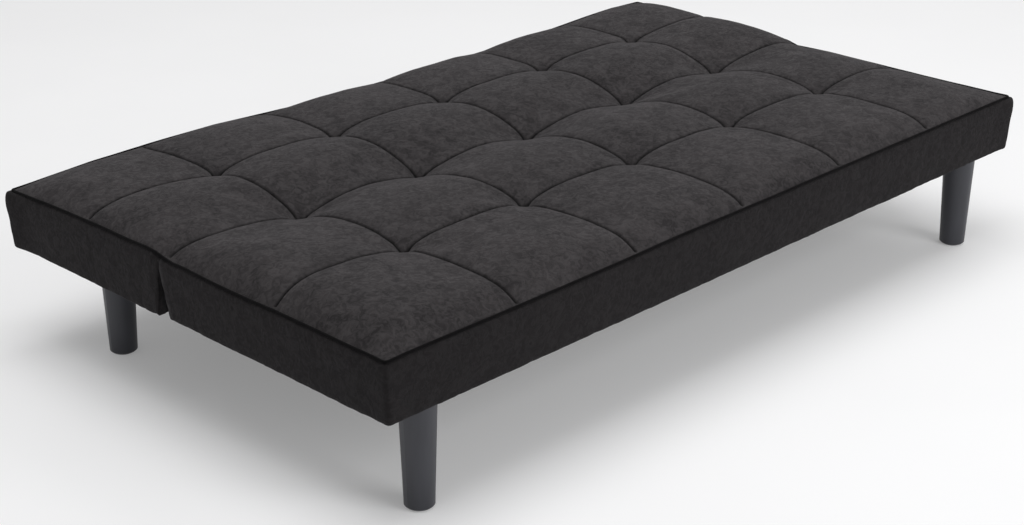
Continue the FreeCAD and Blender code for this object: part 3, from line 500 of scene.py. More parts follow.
@dataclass(frozen=True)
class MouldedPolypropylene(Finish):
    """Polypropylene, injection-moulded in a spark-eroded mould: satin, finely grained, faintly streaked."""

    colour: str
    roughness: float = 0.42

    def lay(self, tree: bpy.types.NodeTree) -> bpy.types.Node:
        """Grain the skin and streak it along the leg."""
        at = add(tree, "ShaderNodeTexCoord").outputs["Object"]
        # The mould's grain is 0.1 mm, too fine to show, so it is drawn 0.6 mm across
        grain = add(tree, "ShaderNodeTexNoise", {"Vector": at, "Scale": 1 / (0.6 * MM),
                                                 "Detail": 2.0}).outputs["Fac"]
        # Flow marks are 30 mm wide and run 150 mm along the leg
        long_way = add(tree, "ShaderNodeMapping", {"Vector": at, "Scale": (1, 1, 0.2)}).outputs["Vector"]
        flow = add(tree, "ShaderNodeTexNoise", {"Vector": long_way, "Scale": 1 / (30 * MM),
                                                "Detail": 3.0}).outputs["Fac"]
        flow = add(tree, "ShaderNodeMapRange", {"Value": flow, "From Min": 0.4,
                                                "From Max": 0.7}).outputs["Result"]
        share = add(tree, "ShaderNodeMath", {0: flow, 1: 0.25}, operation="MULTIPLY").outputs["Value"]
        colour = add(tree, "ShaderNodeMix", {"Factor": share, 6: linear(self.colour), 7: linear("4a4b52")},
                     data_type="RGBA").outputs[2]
        bump = add(tree, "ShaderNodeBump", {"Height": grain, "Distance": 0.03 * MM}).outputs["Normal"]
        dull = add(tree, "ShaderNodeMapRange", {"Value": flow, "To Min": self.roughness,
                                                "To Max": self.roughness + 0.06}).outputs["Result"]
        return add(tree, "ShaderNodeBsdfPrincipled", {"Base Color": colour, "Roughness": dull,
                                                      "Normal": bump})


@dataclass(frozen=True)
class MouldedRubber(Finish):
    """Black rubber, moulded and cured: dull, with a grey bloom in patches of 6 mm."""

    def lay(self, tree: bpy.types.NodeTree) -> bpy.types.Node:
        """Cloud the rubber with its bloom."""
        at = add(tree, "ShaderNodeTexCoord").outputs["Object"]
        bloom = add(tree, "ShaderNodeTexNoise", {"Vector": at, "Scale": 1 / (6 * MM),
                                                 "Detail": 4.0}).outputs["Fac"]
        bloom = add(tree, "ShaderNodeMapRange", {"Value": bloom, "From Min": 0.4,
                                                 "From Max": 0.75}).outputs["Result"]
        colour = add(tree, "ShaderNodeMix", {"Factor": bloom, 6: linear("101010"), 7: linear("262524")},
                     data_type="RGBA").outputs[2]
        bump = add(tree, "ShaderNodeBump", {"Height": bloom, "Distance": 0.1 * MM}).outputs["Normal"]
        dull = add(tree, "ShaderNodeMapRange", {"Value": bloom, "To Min": 0.7,
                                                "To Max": 0.85}).outputs["Result"]
        return add(tree, "ShaderNodeBsdfPrincipled", {"Base Color": colour, "Roughness": dull,
                                                      "Normal": bump})


@dataclass(frozen=True)
class PaintedFloor(Finish):
    """Floor rolled with matt white paint: even, with a hardly visible drift, and the bed's shadow on it."""

    first: str
    second: str
    glow: str
    glow_share: float

    def lay(self, tree: bpy.types.NodeTree) -> bpy.types.Node:
        """Drift the paint, and lift it to the backdrop's white for the eye, metal and glass."""
        at = add(tree, "ShaderNodeTexCoord").outputs["Object"]
        drift = add(tree, "ShaderNodeTexNoise", {"Vector": at, "Scale": 1 / (400 * MM),
                                                 "Detail": 2.0}).outputs["Fac"]
        drift = add(tree, "ShaderNodeMapRange", {"Value": drift, "From Min": 0.4,
                                                 "From Max": 0.6}).outputs["Result"]
        colour = add(tree, "ShaderNodeMix", {"Factor": drift, 6: linear(self.first), 7: linear(self.second)},
                     data_type="RGBA").outputs[2]
        paint = add(tree, "ShaderNodeBsdfPrincipled", {"Base Color": colour, "Roughness": 0.85,
                                                       "Specular IOR Level": 0.1})
        white = add(tree, "ShaderNodeEmission", {"Color": linear(self.glow), "Strength": 1.0})
        share = add(tree, "ShaderNodeMath", {0: seen_rays(tree), 1: self.glow_share}, operation="MULTIPLY")
        return add(tree, "ShaderNodeMixShader", {"Fac": share.outputs["Value"], 1: paint.outputs["BSDF"],
                                                 2: white.outputs["Emission"]})


def seen_rays(tree: bpy.types.NodeTree) -> bpy.types.NodeSocket:
    """Tell rays from the camera, metal or glass from the light on the bed.

    Args:
        tree: Node tree of the floor or the world.

    Returns:
        Socket that is one for those rays and zero for the others.
    """
    rays = add(tree, "ShaderNodeLightPath").outputs
    seen = rays["Is Camera Ray"]
    for kind in ("Is Glossy Ray", "Is Transmission Ray"):
        seen = add(tree, "ShaderNodeMath", {0: seen, 1: rays[kind]}, operation="MAXIMUM").outputs["Value"]
    return seen


# Mesh helpers


def place(verts: Sequence[bmesh.types.BMVert], points: np.ndarray) -> None:
    """Move each vertex to its point."""
    for vert, point in zip(verts, points.reshape(-1, 3)):
        vert.co = point


def lay_net(bm: bmesh.types.BMesh, points: np.ndarray) -> list[bmesh.types.BMVert]:
    """Lay a square-meshed net over rows of points.

    Args:
        bm: Mesh to add to.
        points: Places, as rows x columns x 3.

    Returns:
        The net's vertices, row by row.
    """
    rows, columns = points.shape[:2]
    verts = bmesh.ops.create_grid(bm, x_segments=columns - 1, y_segments=rows - 1, size=1.0)["verts"]
    place(verts, points)
    return verts


def wrap_net(points: np.ndarray, ring: bool = False) -> bmesh.types.BMesh:
    """Roll a net into a tube, with its ends filled or joined.

    Args:
        points: Places round the tube, as rows along it x columns round it x 3.
        ring: Whether the tube's ends meet.

    Returns:
        The closed mesh.
    """
    rolled = np.concatenate([points, points[:, :1]], axis=1)
    if ring:
        rolled = np.concatenate([rolled, rolled[:1]], axis=0)
    bm = bmesh.new()
    lay_net(bm, rolled)
    bmesh.ops.remove_doubles(bm, verts=bm.verts, dist=WELD)
    bmesh.ops.holes_fill(bm, edges=[e for e in bm.edges if e.is_boundary], sides=0)
    return bm


def thicken(bm: bmesh.types.BMesh, way: tuple[float, float, float]) -> None:
    """Give open cloth its thickness, by extruding it one way."""
    made = bmesh.ops.extrude_face_region(bm, geom=list(bm.faces))["geom"]
    bmesh.ops.translate(bm, verts=[g for g in made if isinstance(g, bmesh.types.BMVert)], vec=way)


def to_object(bm: bmesh.types.BMesh, name: str, material: bpy.types.Material,
              seam: np.ndarray | None = None) -> bpy.types.Object:
    """Turn a bmesh into an object in the scene, shaded smooth.

    Args:
        bm: Finished mesh, which is freed.
        name: Name of the piece.
        material: Its finish.
        seam: Share of painted shade in the sewn grooves and tuft pits for each vertex, or nothing.

    Returns:
        The new piece.
    """
    bmesh.ops.recalc_face_normals(bm, faces=bm.faces)
    for face in bm.faces:
        face.smooth = True
    mesh = bpy.data.meshes.new(name)
    bm.to_mesh(mesh)
    bm.free()
    dark = np.zeros(len(mesh.vertices)) if seam is None else seam
    mesh.attributes.new(SEAM_SHADE_LAYER, "FLOAT", "POINT").data.foreach_set("value", dark.astype(np.float32))
    mesh.materials.append(material)
    piece = bpy.data.objects.new(name, mesh)
    bpy.context.scene.collection.objects.link(piece)
    log.info("%s: %d faces", name, len(mesh.polygons))
    return piece


def bend(piece: bpy.types.Object) -> bpy.types.Object:
    """Bake a piece's placement into its mesh.

    Args:
        piece: Finished piece, at rest.

    Returns:
        The same piece.
    """
    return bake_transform(piece)


# Tufted top


@dataclass
class TuftedTop:
    """Quilted suede top over both halves: 24 crowned pads between sewn lines, pulled down at 15 tufts."""

    finish: bpy.types.Material
    edge_x: float = SEAM_X
    front_y: float = -SEAM_Y
    far_y: float = SEAM_Y
    column_lines: tuple[float, ...] = (-0.6, -0.3, 0.0, 0.3, 0.6)
    row_lines: tuple[float, ...] = (-0.246, 0.038, 0.286)
    roll: float = 0.034
    seat_right_roll: float = 0.100
    far_roll: float = 0.050
    crown: float = 0.014
    # Sewn lines cut a narrow groove with soft shoulders, and each tuft pulls a pit
    groove: float = 0.0052
    groove_width: float = 0.0026
    shoulder: float = 0.0025
    shoulder_width: float = 0.013
    pit: float = 0.012
    pit_width: float = 0.012
    cells: int = 52
    # The foam rests on the webbing, is raised over the hinge heads, and its foot lies inside the borders
    foam_foot: float = 0.2890
    hollow_top: float = 0.3225
    foot_x: float = 0.8785
    foot_y: float = 0.5105
    foot_cells: tuple[int, int] = (84, 104)
    # The cloth turns down and in here, under the piping
    tuck_x: float = 0.8790
    tuck_y: float = 0.5110
    tuck_drop: float = 0.0012
    # Heights in mm over the piping where lines meet: front edge, front tufts, fold, back tufts, far edge
    inner_knots: tuple[float, ...] = (30.0, 15.0, -6.0, 14.0, 22.0)
    end_knots: tuple[float, ...] = (34.0, 41.0, 22.0, 31.0, 26.0)
    row_bow: tuple[float, ...] = (3.0, 18.0, 22.0, 16.0, 3.0)
    row_power: tuple[float, ...] = (2.0, 3.0, 1.7, 3.0, 2.0)
    column_bow: tuple[float, ...] = (0.0, 26.0, 25.0, 0.0)
    end_bow: float = 5.0
    # How late the padding gives way to a tuft, in the end pads and in the edge pads
    end_hold: float = 3.6
    edge_hold: float = 7.0
    # How flat a crown is in its middle, and how much of it the end pads and the edge pads have
    crown_power: float = 2.4
    end_crown: float = 0.62
    edge_crown: float = 0.75

    @staticmethod
    def locate(values: np.ndarray, lines: np.ndarray) -> tuple[np.ndarray, np.ndarray]:
        """Find the pad of each value between the lines.

        Args:
            values: Places along one axis.
            lines: Sewn lines and edges along it, in order.

        Returns:
            Number of each value's pad, and the share of the way across it.
        """
        cell = np.clip(np.searchsorted(lines, values, side="right") - 1, 0, len(lines) - 2)
        return cell, np.clip((values - lines[cell]) / (lines[cell + 1] - lines[cell]), 0, 1)

    def row_height(self, row: np.ndarray, column: np.ndarray, u: np.ndarray) -> np.ndarray:
        """Height in mm of a sewn line that runs along the length.

        Args:
            row: Number of the line, from the front edge.
            column: Number of the pad, from the left end.
            u: Share of the way across the pad.

        Returns:
            Height over the piping for each point.
        """
        inner = np.array(self.inner_knots)[row]
        end = np.array(self.end_knots)[row]
        bow = np.array(self.row_bow)[row] * (1 - np.abs(2 * u - 1) ** np.array(self.row_power)[row])
        last = len(self.column_lines)
        first_pad = end + (inner - end) * u ** self.end_hold
        last_pad = end + (inner - end) * (1 - u) ** self.end_hold
        return np.where(column == 0, first_pad, np.where(column == last, last_pad, inner + bow))

    def column_height(self, line: np.ndarray, row: np.ndarray, v: np.ndarray) -> np.ndarray:
        """Height in mm of a sewn line, or of the padding over an end, that runs across the depth.

        Args:
            line: Number of the line, from the left end.
            row: Number of the pad, from the front edge.
            v: Share of the way across the pad.

        Returns:
            Height over the piping for each point.
        """
        inner = np.array(self.inner_knots)
        end = np.array(self.end_knots)
        at_end = (line == 0) | (line == len(self.column_lines) + 1)
        low = np.where(at_end, end[row], inner[row])
        high = np.where(at_end, end[row + 1], inner[row + 1])
        bow = np.where(at_end, self.end_bow, np.array(self.column_bow)[row]) * (1 - np.abs(2 * v - 1) ** 2)
        front = low + (high - low) * v ** self.edge_hold
        far = low + (high - low) * (1 - (1 - v) ** self.edge_hold)
        middle = low + (high - low) * v
        base = np.where(row == 0, front, np.where(row == len(self.row_lines), far, middle))
        return base + bow

    def padding(self, x: np.ndarray, y: np.ndarray) -> np.ndarray:
        """Height of the crowned pads in mm over the piping, spanned between their sewn lines.

        Args:
            x: Places along the length.
            y: Places across the depth.

        Returns:
            Height for each place, before the edges roll down.
        """
        xs = np.array([-self.edge_x, *self.column_lines, self.edge_x])
        ys = np.array([self.front_y, *self.row_lines, self.far_y])
        column, u = self.locate(x, xs)
        row, v = self.locate(y, ys)
        tiny = 0.02
        sides = [
            (self.row_height(row, column, u), 1 / (v + tiny) ** 2),
            (self.row_height(row + 1, column, u), 1 / (1 - v + tiny) ** 2),
            (self.column_height(column, row, v), 1 / (u + tiny) ** 2),
            (self.column_height(column + 1, row, v), 1 / (1 - u + tiny) ** 2),
        ]
        level = sum(h * w for h, w in sides) / sum(w for _, w in sides)
        first, last = column == 0, column == len(self.column_lines)
        front, far = row == 0, row == len(self.row_lines)
        across = np.where(first, 1 - u ** 3, np.where(last, 1 - (1 - u) ** 3, self.dome(u)))
        deep = np.where(front, 1 - v ** 3, np.where(far, 1 - (1 - v) ** 3, self.dome(v)))
        crown = np.where(first | last, self.end_crown, 1.0) * np.where(front | far, self.edge_crown, 1.0)
        return level + self.crown / MM * crown * across * deep

    def dome(self, share: np.ndarray) -> np.ndarray:
        """Rise of a pad that is sewn down on both sides, at each share of the way across it."""
        return 1 - np.abs(2 * share - 1) ** self.crown_power

    def edge_roll(self, x: np.ndarray, y: np.ndarray) -> np.ndarray:
        """Share of the padding's height that is left near the edges, where the top rolls down to the piping.

        Args:
            x: Places along the length.
            y: Places across the depth.

        Returns:
            Share for each place.
        """
        on_seat = 1 - smooth(-0.02, 0.06, y)
        right_roll = self.roll + (self.seat_right_roll - self.roll) * on_seat
        end_roll = np.where(x > 0, right_roll, self.roll)
        return ((1 - np.exp(-(self.edge_x - np.abs(x)) / end_roll))
                * (1 - np.exp(-(y - self.front_y) / self.roll))
                * (1 - np.exp(-(self.far_y - y) / self.far_roll)))

    def to_edge(self, x: np.ndarray, y: np.ndarray) -> np.ndarray:
        """Distance to the nearest piped edge."""
        return np.minimum(self.edge_x - np.abs(x), np.minimum(y - self.front_y, self.far_y - y))

    def quilt(self, x: np.ndarray, y: np.ndarray) -> tuple[np.ndarray, np.ndarray, np.ndarray]:
        """Pads with their sewn lines cut in and their tufts pulled down.

        Args:
            x: Places along the length.
            y: Places across the depth.

        Returns:
            Height over the piping in mm, share of painted shade in the sewn grooves and tuft pits, and
            distance to the nearest tuft.
        """
        to_column = np.min(np.abs(x[:, None] - np.array(self.column_lines)), axis=1)
        to_row = np.min(np.abs(y[:, None] - np.array(self.row_lines)), axis=1)
        to_line = np.minimum(to_column, to_row)
        fade = smooth(0.002, 0.009, self.to_edge(x, y))
        cut = self.groove * np.exp(-(to_line / self.groove_width) ** 2)
        cut = cut + self.shoulder * np.exp(-(to_line / self.shoulder_width) ** 2)
        hinge_end = np.exp(-((x + self.edge_x) / 0.04) ** 2) * np.exp(-((y - HINGE_Y) / 0.04) ** 2)
        cut = cut * (1 - 0.7 * hinge_end)
        to_tuft = np.hypot(to_column, to_row)
        dip = self.pit * np.exp(-(to_tuft / self.pit_width) ** 1.4)
        # Painted shade along the sewn grooves, wider at the hinge end, and in the pit of each tuft
        dark = fade * np.exp(-(to_line / (0.0027 + 0.0012 * hinge_end)) ** 2)
        dark = dark + 0.75 * np.exp(-(to_tuft / 0.007) ** 2)
        height = self.padding(x, y) * self.edge_roll(x, y) - (cut * fade + dip) / MM
        return height, np.clip(dark, 0, 1), to_tuft

    def spaced(self, lines: Sequence[float]) -> np.ndarray:
        """Grid places that crowd together at the sewn lines.

        Args:
            lines: Sewn lines and edges along one axis, in order.

        Returns:
            Places from the first line to the last.
        """
        out = [np.array([lines[0]])]
        for a, b in zip(lines[:-1], lines[1:]):
            s = np.linspace(0, 1, self.cells + 1)[1:]
            out.append(a + (b - a) * (s - 0.8 * np.sin(2 * math.pi * s) / (2 * math.pi)))
        return np.concatenate(out)

    def surface(self, x: np.ndarray, y: np.ndarray) -> tuple[np.ndarray, np.ndarray]:
        """Top surface, with slack and pulled cloth added to the quilt.

        Args:
            x: Places along the length.
            y: Places across the depth.

        Returns:
            Height above the floor and share of painted shade in the sewn grooves and tuft pits for each place.
        """
        flat = np.column_stack([x, y, np.zeros_like(x)])
        drift = wander(flat, 0.16, 3.1, 2)
        sway = wander(flat, 0.16, 11.7, 2)
        stray = 0.010 * np.exp(-((x + self.edge_x) / 0.07) ** 2) * np.exp(-((y - 0.048) / 0.06) ** 2)
        height, dark, to_tuft = self.quilt(x + 0.0018 * drift, y + 0.0018 * sway - stray)
        angle = np.arctan2(sway + 3 * y, drift + 3 * x) + 9 * wander(flat, 0.25, 21.0, 1)
        pull = np.exp(-((to_tuft - 0.022) / 0.022) ** 2) * np.sin(3 * angle)
        loose = smooth(0.0, 0.05, self.to_edge(x, y))
        z = SEAM_Z + MM * (height + loose * (1.1 * wander(flat, 0.09, 7.7, 3) + 0.7 * pull))
        return z, dark

    def foot(self, x: np.ndarray, y: np.ndarray) -> np.ndarray:
        """Underside of the foam: flat on the webbing, hollow over the two hinge heads."""
        over = (smooth(0.822, 0.832, np.abs(x)) * (1 - smooth(0.862, 0.874, np.abs(x)))
                * (1 - smooth(0.030, 0.055, np.abs(y - HINGE_Y))))
        return self.foam_foot + (self.hollow_top - self.foam_foot) * over

    def close(self, bm: bmesh.types.BMesh) -> None:
        """Turn the top's rim down and in, and bridge it to the underside of the foam.

        Args:
            bm: Mesh that holds the top surface alone.
        """
        rim = [e for e in bm.edges if e.is_boundary]
        tucked = bmesh.ops.extrude_edge_only(bm, edges=rim)["geom"]
        for vert in (g for g in tucked if isinstance(g, bmesh.types.BMVert)):
            vert.co.x = math.copysign(min(abs(vert.co.x), self.tuck_x), vert.co.x)
            vert.co.y = math.copysign(min(abs(vert.co.y), self.tuck_y), vert.co.y)
            vert.co.z = min(vert.co.z, SEAM_Z) - self.tuck_drop
        inner = [g for g in tucked if isinstance(g, bmesh.types.BMEdge) and g.is_boundary]
        along, across = self.foot_cells
        grid_x, grid_y = np.meshgrid(np.linspace(-self.foot_x, self.foot_x, along + 1),
                                     np.linspace(-self.foot_y, self.foot_y, across + 1))
        base = set(lay_net(bm, np.stack([grid_x, grid_y, self.foot(grid_x, grid_y)], axis=-1)))
        outer = [e for e in bm.edges if e.is_boundary and e.verts[0] in base and e.verts[1] in base]
        bmesh.ops.bridge_loops(bm, edges=inner + outer)

    def make(self) -> bpy.types.Object:
        """Build the top as one closed mesh over both halves."""
        xs = self.spaced([-self.edge_x, *self.column_lines, self.edge_x])
        ys = self.spaced([self.front_y, *self.row_lines, self.far_y])
        between = (ys[1:] + ys[:-1]) / 2
        ys = np.sort(np.concatenate([ys, between[(between > 0.042) & (between < 0.055)]]))
        grid_x, grid_y = np.meshgrid(xs, ys)
        x, y = grid_x.ravel(), grid_y.ravel()
        z, dark = self.surface(x, y)
        bm = bmesh.new()
        points = LIE.shift(np.column_stack([x, y, z]), np.ones(len(x)))
        top = lay_net(bm, points.reshape(len(ys), len(xs), 3))
        self.close(bm)
        # Only the top surface's vertices carry painted shade, in its sewn grooves and tuft pits
        seam = np.zeros(len(bm.verts))
        seam[:len(top)] = dark
        piece = to_object(bm, "tufted_top", self.finish, seam)
        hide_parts("seat_cushion", "back_cushion")
        return bend(piece)


# Borders and piping


@dataclass
class Outline:
    """Plan of one half's three sides, with rounded corners, walked from the right end to the left."""

    side: Side
    step: float = 0.010
    corner_steps: int = 12
    squareness: float = 5.0

    def walk(self, start_y: float) -> tuple[np.ndarray, np.ndarray]:
        """Points on the frame's face and the outward direction at each, from start_y on the right end.

        Args:
            start_y: Where the sides begin, near the hinge.

        Returns:
            The points, and the outward direction at each.
        """
        far = self.side.value * RAIL_Y
        along = max(8, int(abs(far - start_y) / self.step))
        wide = int(2 * RAIL_X / self.step)
        places, outward = [], []
        for t in np.linspace(0, 1, along, endpoint=False):
            places.append((RAIL_X, start_y + (far - start_y) * t))
            outward.append((1.0, 0.0))
        for k in range(self.corner_steps + 1):
            places.append((RAIL_X, far))
            outward.append(self.direction(math.pi / 2 * k / self.corner_steps))
        for t in np.linspace(0, 1, wide + 1)[1:-1]:
            places.append((RAIL_X - 2 * RAIL_X * t, far))
            outward.append((0.0, float(self.side.value)))
        mirrored_places = [(-x, y) for x, y in reversed(places[:along + self.corner_steps + 1])]
        mirrored_outward = [(-x, y) for x, y in reversed(outward[:along + self.corner_steps + 1])]
        return np.array(places + mirrored_places), np.array(outward + mirrored_outward)

    def direction(self, turn: float) -> tuple[float, float]:
        """Outward direction in a corner, long enough to keep the corner nearly square."""
        c, s, p = abs(math.cos(turn)), abs(math.sin(turn)), self.squareness
        size = (c ** p + s ** p) ** (1 / p)
        return math.cos(turn) / size, self.side.value * math.sin(turn) / size


@dataclass
class BorderBand:
    """Padded suede border round three sides of a half: full below the piping, drawn in and turned under."""

    side: Side
    finish: bpy.types.Material
    # Depth from the frame's face and share of the height above the foot, in mm and shares
    section: tuple[tuple[float, float], ...] = (
        (2.0, 0.985), (7.0, 0.992), (12.0, 0.995), (15.2, 0.985), (17.3, 0.955), (18.8, 0.90), (19.7, 0.83),
        (20.1, 0.75), (20.2, 0.66), (20.1, 0.56), (19.8, 0.46), (19.4, 0.36), (18.9, 0.27), (18.3, 0.18),
        (17.6, 0.10), (17.0, 0.05), (16.2, 0.018), (14.8, 0.000), (12.6, -0.004), (9.0, -0.003),
        (5.0, -0.002), (1.6, -0.001), (0.5, 0.006), (0.4, 0.05), (0.8, 0.25), (1.0, 0.45), (1.2, 0.65),
        (1.4, 0.85),
    )
    # How far the border stops short of the cord and of the underside, and how it meets the slit
    under_cord: float = 0.0014
    hem: float = 0.0012
    slit_dip: float = 0.0025
    slit_pull: float = 0.20
    most_puff: float = 0.0009

    @property
    def name(self) -> str:
        """Name of the piece."""
        return self.side.body + "_border_band"

    @property
    def slack_corner(self) -> tuple[tuple[float, float], tuple[float, float]]:
        """Corner whose cloth bags out, and how far."""
        if self.side is Side.SEAT:
            return (0.897, -0.529), (0.0085, -0.0035)
        return (-0.897, 0.529), (-0.0070, 0.0070)

    def slit(self, z: np.ndarray) -> np.ndarray:
        """Where this half's ends stop at the hinge, at each height."""
        heights = (0.195, 0.215, 0.240, 0.265, 0.285, 0.294, 0.318)
        if self.side is Side.SEAT:
            return np.interp(z, heights, (0.0415, 0.0445, 0.0480, 0.0540, 0.0600, 0.0630, 0.0640))
        return np.interp(z, heights, (0.0790, 0.0745, 0.0700, 0.0675, 0.0660, 0.0646, 0.0645))

    def make(self) -> bpy.types.Object:
        """Build the band."""
        places, outward = Outline(self.side).walk(HINGE_Y)
        flat = self.sweep(places, outward)
        rows, columns = len(places), len(self.section)
        from_hinge = np.repeat(np.abs(places[:, 1] - HINGE_Y), columns)
        self.slacken(flat, np.repeat(outward, columns, axis=0), from_hinge)
        share = np.tile([s for _, s in self.section], rows)
        flat = LIE.shift(flat, smooth(0.35, 1.0, share))
        self.bag(flat)
        piece = to_object(wrap_net(flat.reshape(rows, columns, 3)), self.name, self.finish)
        ends = [f"{self.side.body}_end_border_{end.label}" for end in (End.RIGHT, End.LEFT)]
        long_one = "seat_front_border" if self.side is Side.SEAT else "back_far_border"
        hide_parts(long_one, *ends)
        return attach(piece, self.side.body)

    def sweep(self, places: np.ndarray, outward: np.ndarray) -> np.ndarray:
        """Carry the section round the three sides, with its ends cut to the slit.

        Args:
            places: Points on the frame's face.
            outward: Outward direction at each.

        Returns:
            One row of x, y, z for each point of each section.
        """
        top = SEAM_Z - self.under_cord
        foot = self.side.underside + self.hem
        depth = np.array([d * MM for d, _ in self.section])
        share = np.array([s for _, s in self.section])
        x = places[:, None, 0] + outward[:, None, 0] * depth[None, :]
        y = places[:, None, 1] + outward[:, None, 1] * depth[None, :]
        z = foot + (top - foot) * np.tile(share, (len(places), 1))
        # At the slit the top edge dips under the cord, so that the halves can fold past each other
        on_end = np.abs(places[:, None, 0]) > RAIL_X - WELD
        from_hinge = np.abs(places[:, None, 1] - HINGE_Y)
        near = on_end * (1 - smooth(0.002, 0.020, from_hinge))
        z = foot + (z - foot) * (1 - self.slit_dip * near / (top - foot))
        # Both ends are pulled to the slit's own line
        y = y + on_end * (self.slit(z) - HINGE_Y) * (1 - smooth(0.0, self.slit_pull, from_hinge))
        return np.stack([x, y, z], axis=-1).reshape(-1, 3)

    def slacken(self, flat: np.ndarray, normal: np.ndarray, from_hinge: np.ndarray) -> None:
        """Puff the cloth, tuck it at the hem and bunch it at the slit.

        Args:
            flat: One row of x, y, z for each point, which is moved.
            normal: Outward direction at each point.
            from_hinge: Distance of each point's section from the hinge line.
        """
        depth, share = np.array(self.section).T
        rows = len(flat) // len(depth)
        outer = np.tile(smooth(0.006, 0.014, depth * MM), rows)
        at_hem = np.tile(np.exp(-((share - 0.02) / 0.10) ** 2), rows)
        puff = 0.0009 * wander(flat * (1, 1, 2.2), 0.11, 5.0, 3)
        puff = puff + 0.0006 * wander(flat * (1, 1, 0.6), 0.028, 9.0, 2)
        tuck = 0.0011 * wander(flat * (1, 1, 0.1), 0.016, 15.0, 2) * at_hem
        bunch = np.exp(-(from_hinge / 0.045) ** 2)
        crease = 0.0030 * wander(flat * (1, 3.0, 0.7), 0.035, 31.0, 3) * bunch
        shift = np.minimum((puff + tuck + crease) * outer, self.most_puff)
        flat[:, 0] += normal[:, 0] * shift
        flat[:, 1] += normal[:, 1] * shift
        flat[:, 2] += 0.0008 * wander(flat * (1, 1, 0), 0.07, 41.0, 2) * at_hem

    def bag(self, flat: np.ndarray) -> None:
        """Let the cloth bag out at one corner.

        Args:
            flat: One row of x, y, z for each point, which is moved.
        """
        depth = np.tile([d * MM for d, _ in self.section], len(flat) // len(self.section))
        corner, pull = self.slack_corner
        off = np.hypot(flat[:, 0] - corner[0], flat[:, 1] - corner[1])
        ease = np.exp(-(off / 0.030) ** 2) * smooth(0.004, 0.016, depth)
        flat[:, 0] += pull[0] * ease
        flat[:, 1] += pull[1] * ease


@dataclass
class SlitFlap:
    """Return of the border's cloth round the edge of the slit, over the end of the rail."""

    side: Side
    end: End
    finish: bpy.types.Material
    inner_x: float = 0.8588
    outer_x: float = 0.8822
    hem: float = 0.0015
    top_z: float = 0.2905
    thick: float = 0.0012
    points_wide: int = 10
    points_high: int = 40

    def make(self) -> bpy.types.Object:
        """Build the flap of one half at one end."""
        heights = np.linspace(self.side.underside + self.hem, self.top_z, self.points_high)
        grid_x, grid_z = np.meshgrid(np.linspace(self.inner_x, self.outer_x, self.points_wide), heights)
        x, z = grid_x.ravel(), grid_z.ravel()
        way = float(self.side.value)
        y = BorderBand(self.side, self.finish).slit(z) + way * 0.0016
        flat = np.column_stack([x, y, z])
        y = y + way * 0.0008 * np.abs(wander(flat, 0.018, 4.0 + self.end.value, 2))
        points = np.column_stack([self.end.value * x, y, z])
        bm = bmesh.new()
        lay_net(bm, points.reshape(self.points_high, self.points_wide, 3))
        thicken(bm, (0, way * self.thick, 0))
        piece = to_object(bm, f"{self.side.body}_slit_flap_{self.end.label}", self.finish)
        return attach(piece, self.side.body)


@dataclass
class Gusset:
    """Bunched piece of the end border over the hinge."""

    end: End
    finish: bpy.types.Material
    # Depth from the frame's face in mm, and height in metres
    section: tuple[tuple[float, float], ...] = (
        (3.0, 0.3155), (9.0, 0.3162), (13.6, 0.3160), (16.4, 0.3146), (17.9, 0.3120), (18.3, 0.3080),
        (18.0, 0.3035), (17.2, 0.2990), (16.0, 0.2950), (14.6, 0.2915), (12.6, 0.2890), (9.0, 0.2880),
        (5.0, 0.2890), (3.0, 0.2940), (2.4, 0.3050),
    )
    middle: float = HINGE_Y + 0.024
    half_width: float = 0.046
    rows: int = 90
    fold_pitch: float = 0.019

    def make(self) -> bpy.types.Object:
        """Build the gusset of one end."""
        middle = self.middle
        ys = middle + np.linspace(-self.half_width, self.half_width, self.rows)
        depth = np.array([d * MM for d, _ in self.section])
        height = np.array([z for _, z in self.section])
        off = np.abs(ys - middle)
        pinch = np.exp(-(off / 0.012) ** 2)[:, None]
        taper = smooth(0.022, 0.050, off)[:, None]
        x = RAIL_X + depth[None, :] * (0.97 - 0.05 * pinch - 0.20 * taper)
        lift = 0.012 * taper * (1 - smooth(0.288, 0.310, height)[None, :])
        z = height[None, :] + lift - 0.004 * pinch * smooth(0.298, 0.316, height)[None, :]
        y = np.repeat(ys[:, None], len(self.section), axis=1)
        flat = np.stack([x, y, z], axis=-1).reshape(-1, 3)
        turn = 2 * math.pi * (flat[:, 1] - middle) / self.fold_pitch
        folds = 0.0009 * np.sin(turn + 60 * (flat[:, 2] - PIVOT_Z))
        folds = folds + 0.0014 * wander(flat * (1, 1, 0.3), 0.014, 3.0 * self.end.value + 8, 2)
        outer = smooth(0.010, 0.016, flat[:, 0] - RAIL_X)
        flat[:, 0] += folds * outer * np.exp(-(np.abs(flat[:, 1] - middle) / 0.030) ** 2)
        flat[:, 0] *= self.end.value
        flat = LIE.shift(flat, smooth(0.285, 0.314, flat[:, 2]))
        tube = wrap_net(flat.reshape(self.rows, len(self.section), 3))
        piece = to_object(tube, "hinge_gusset_" + self.end.label, self.finish)
        return bend(piece)


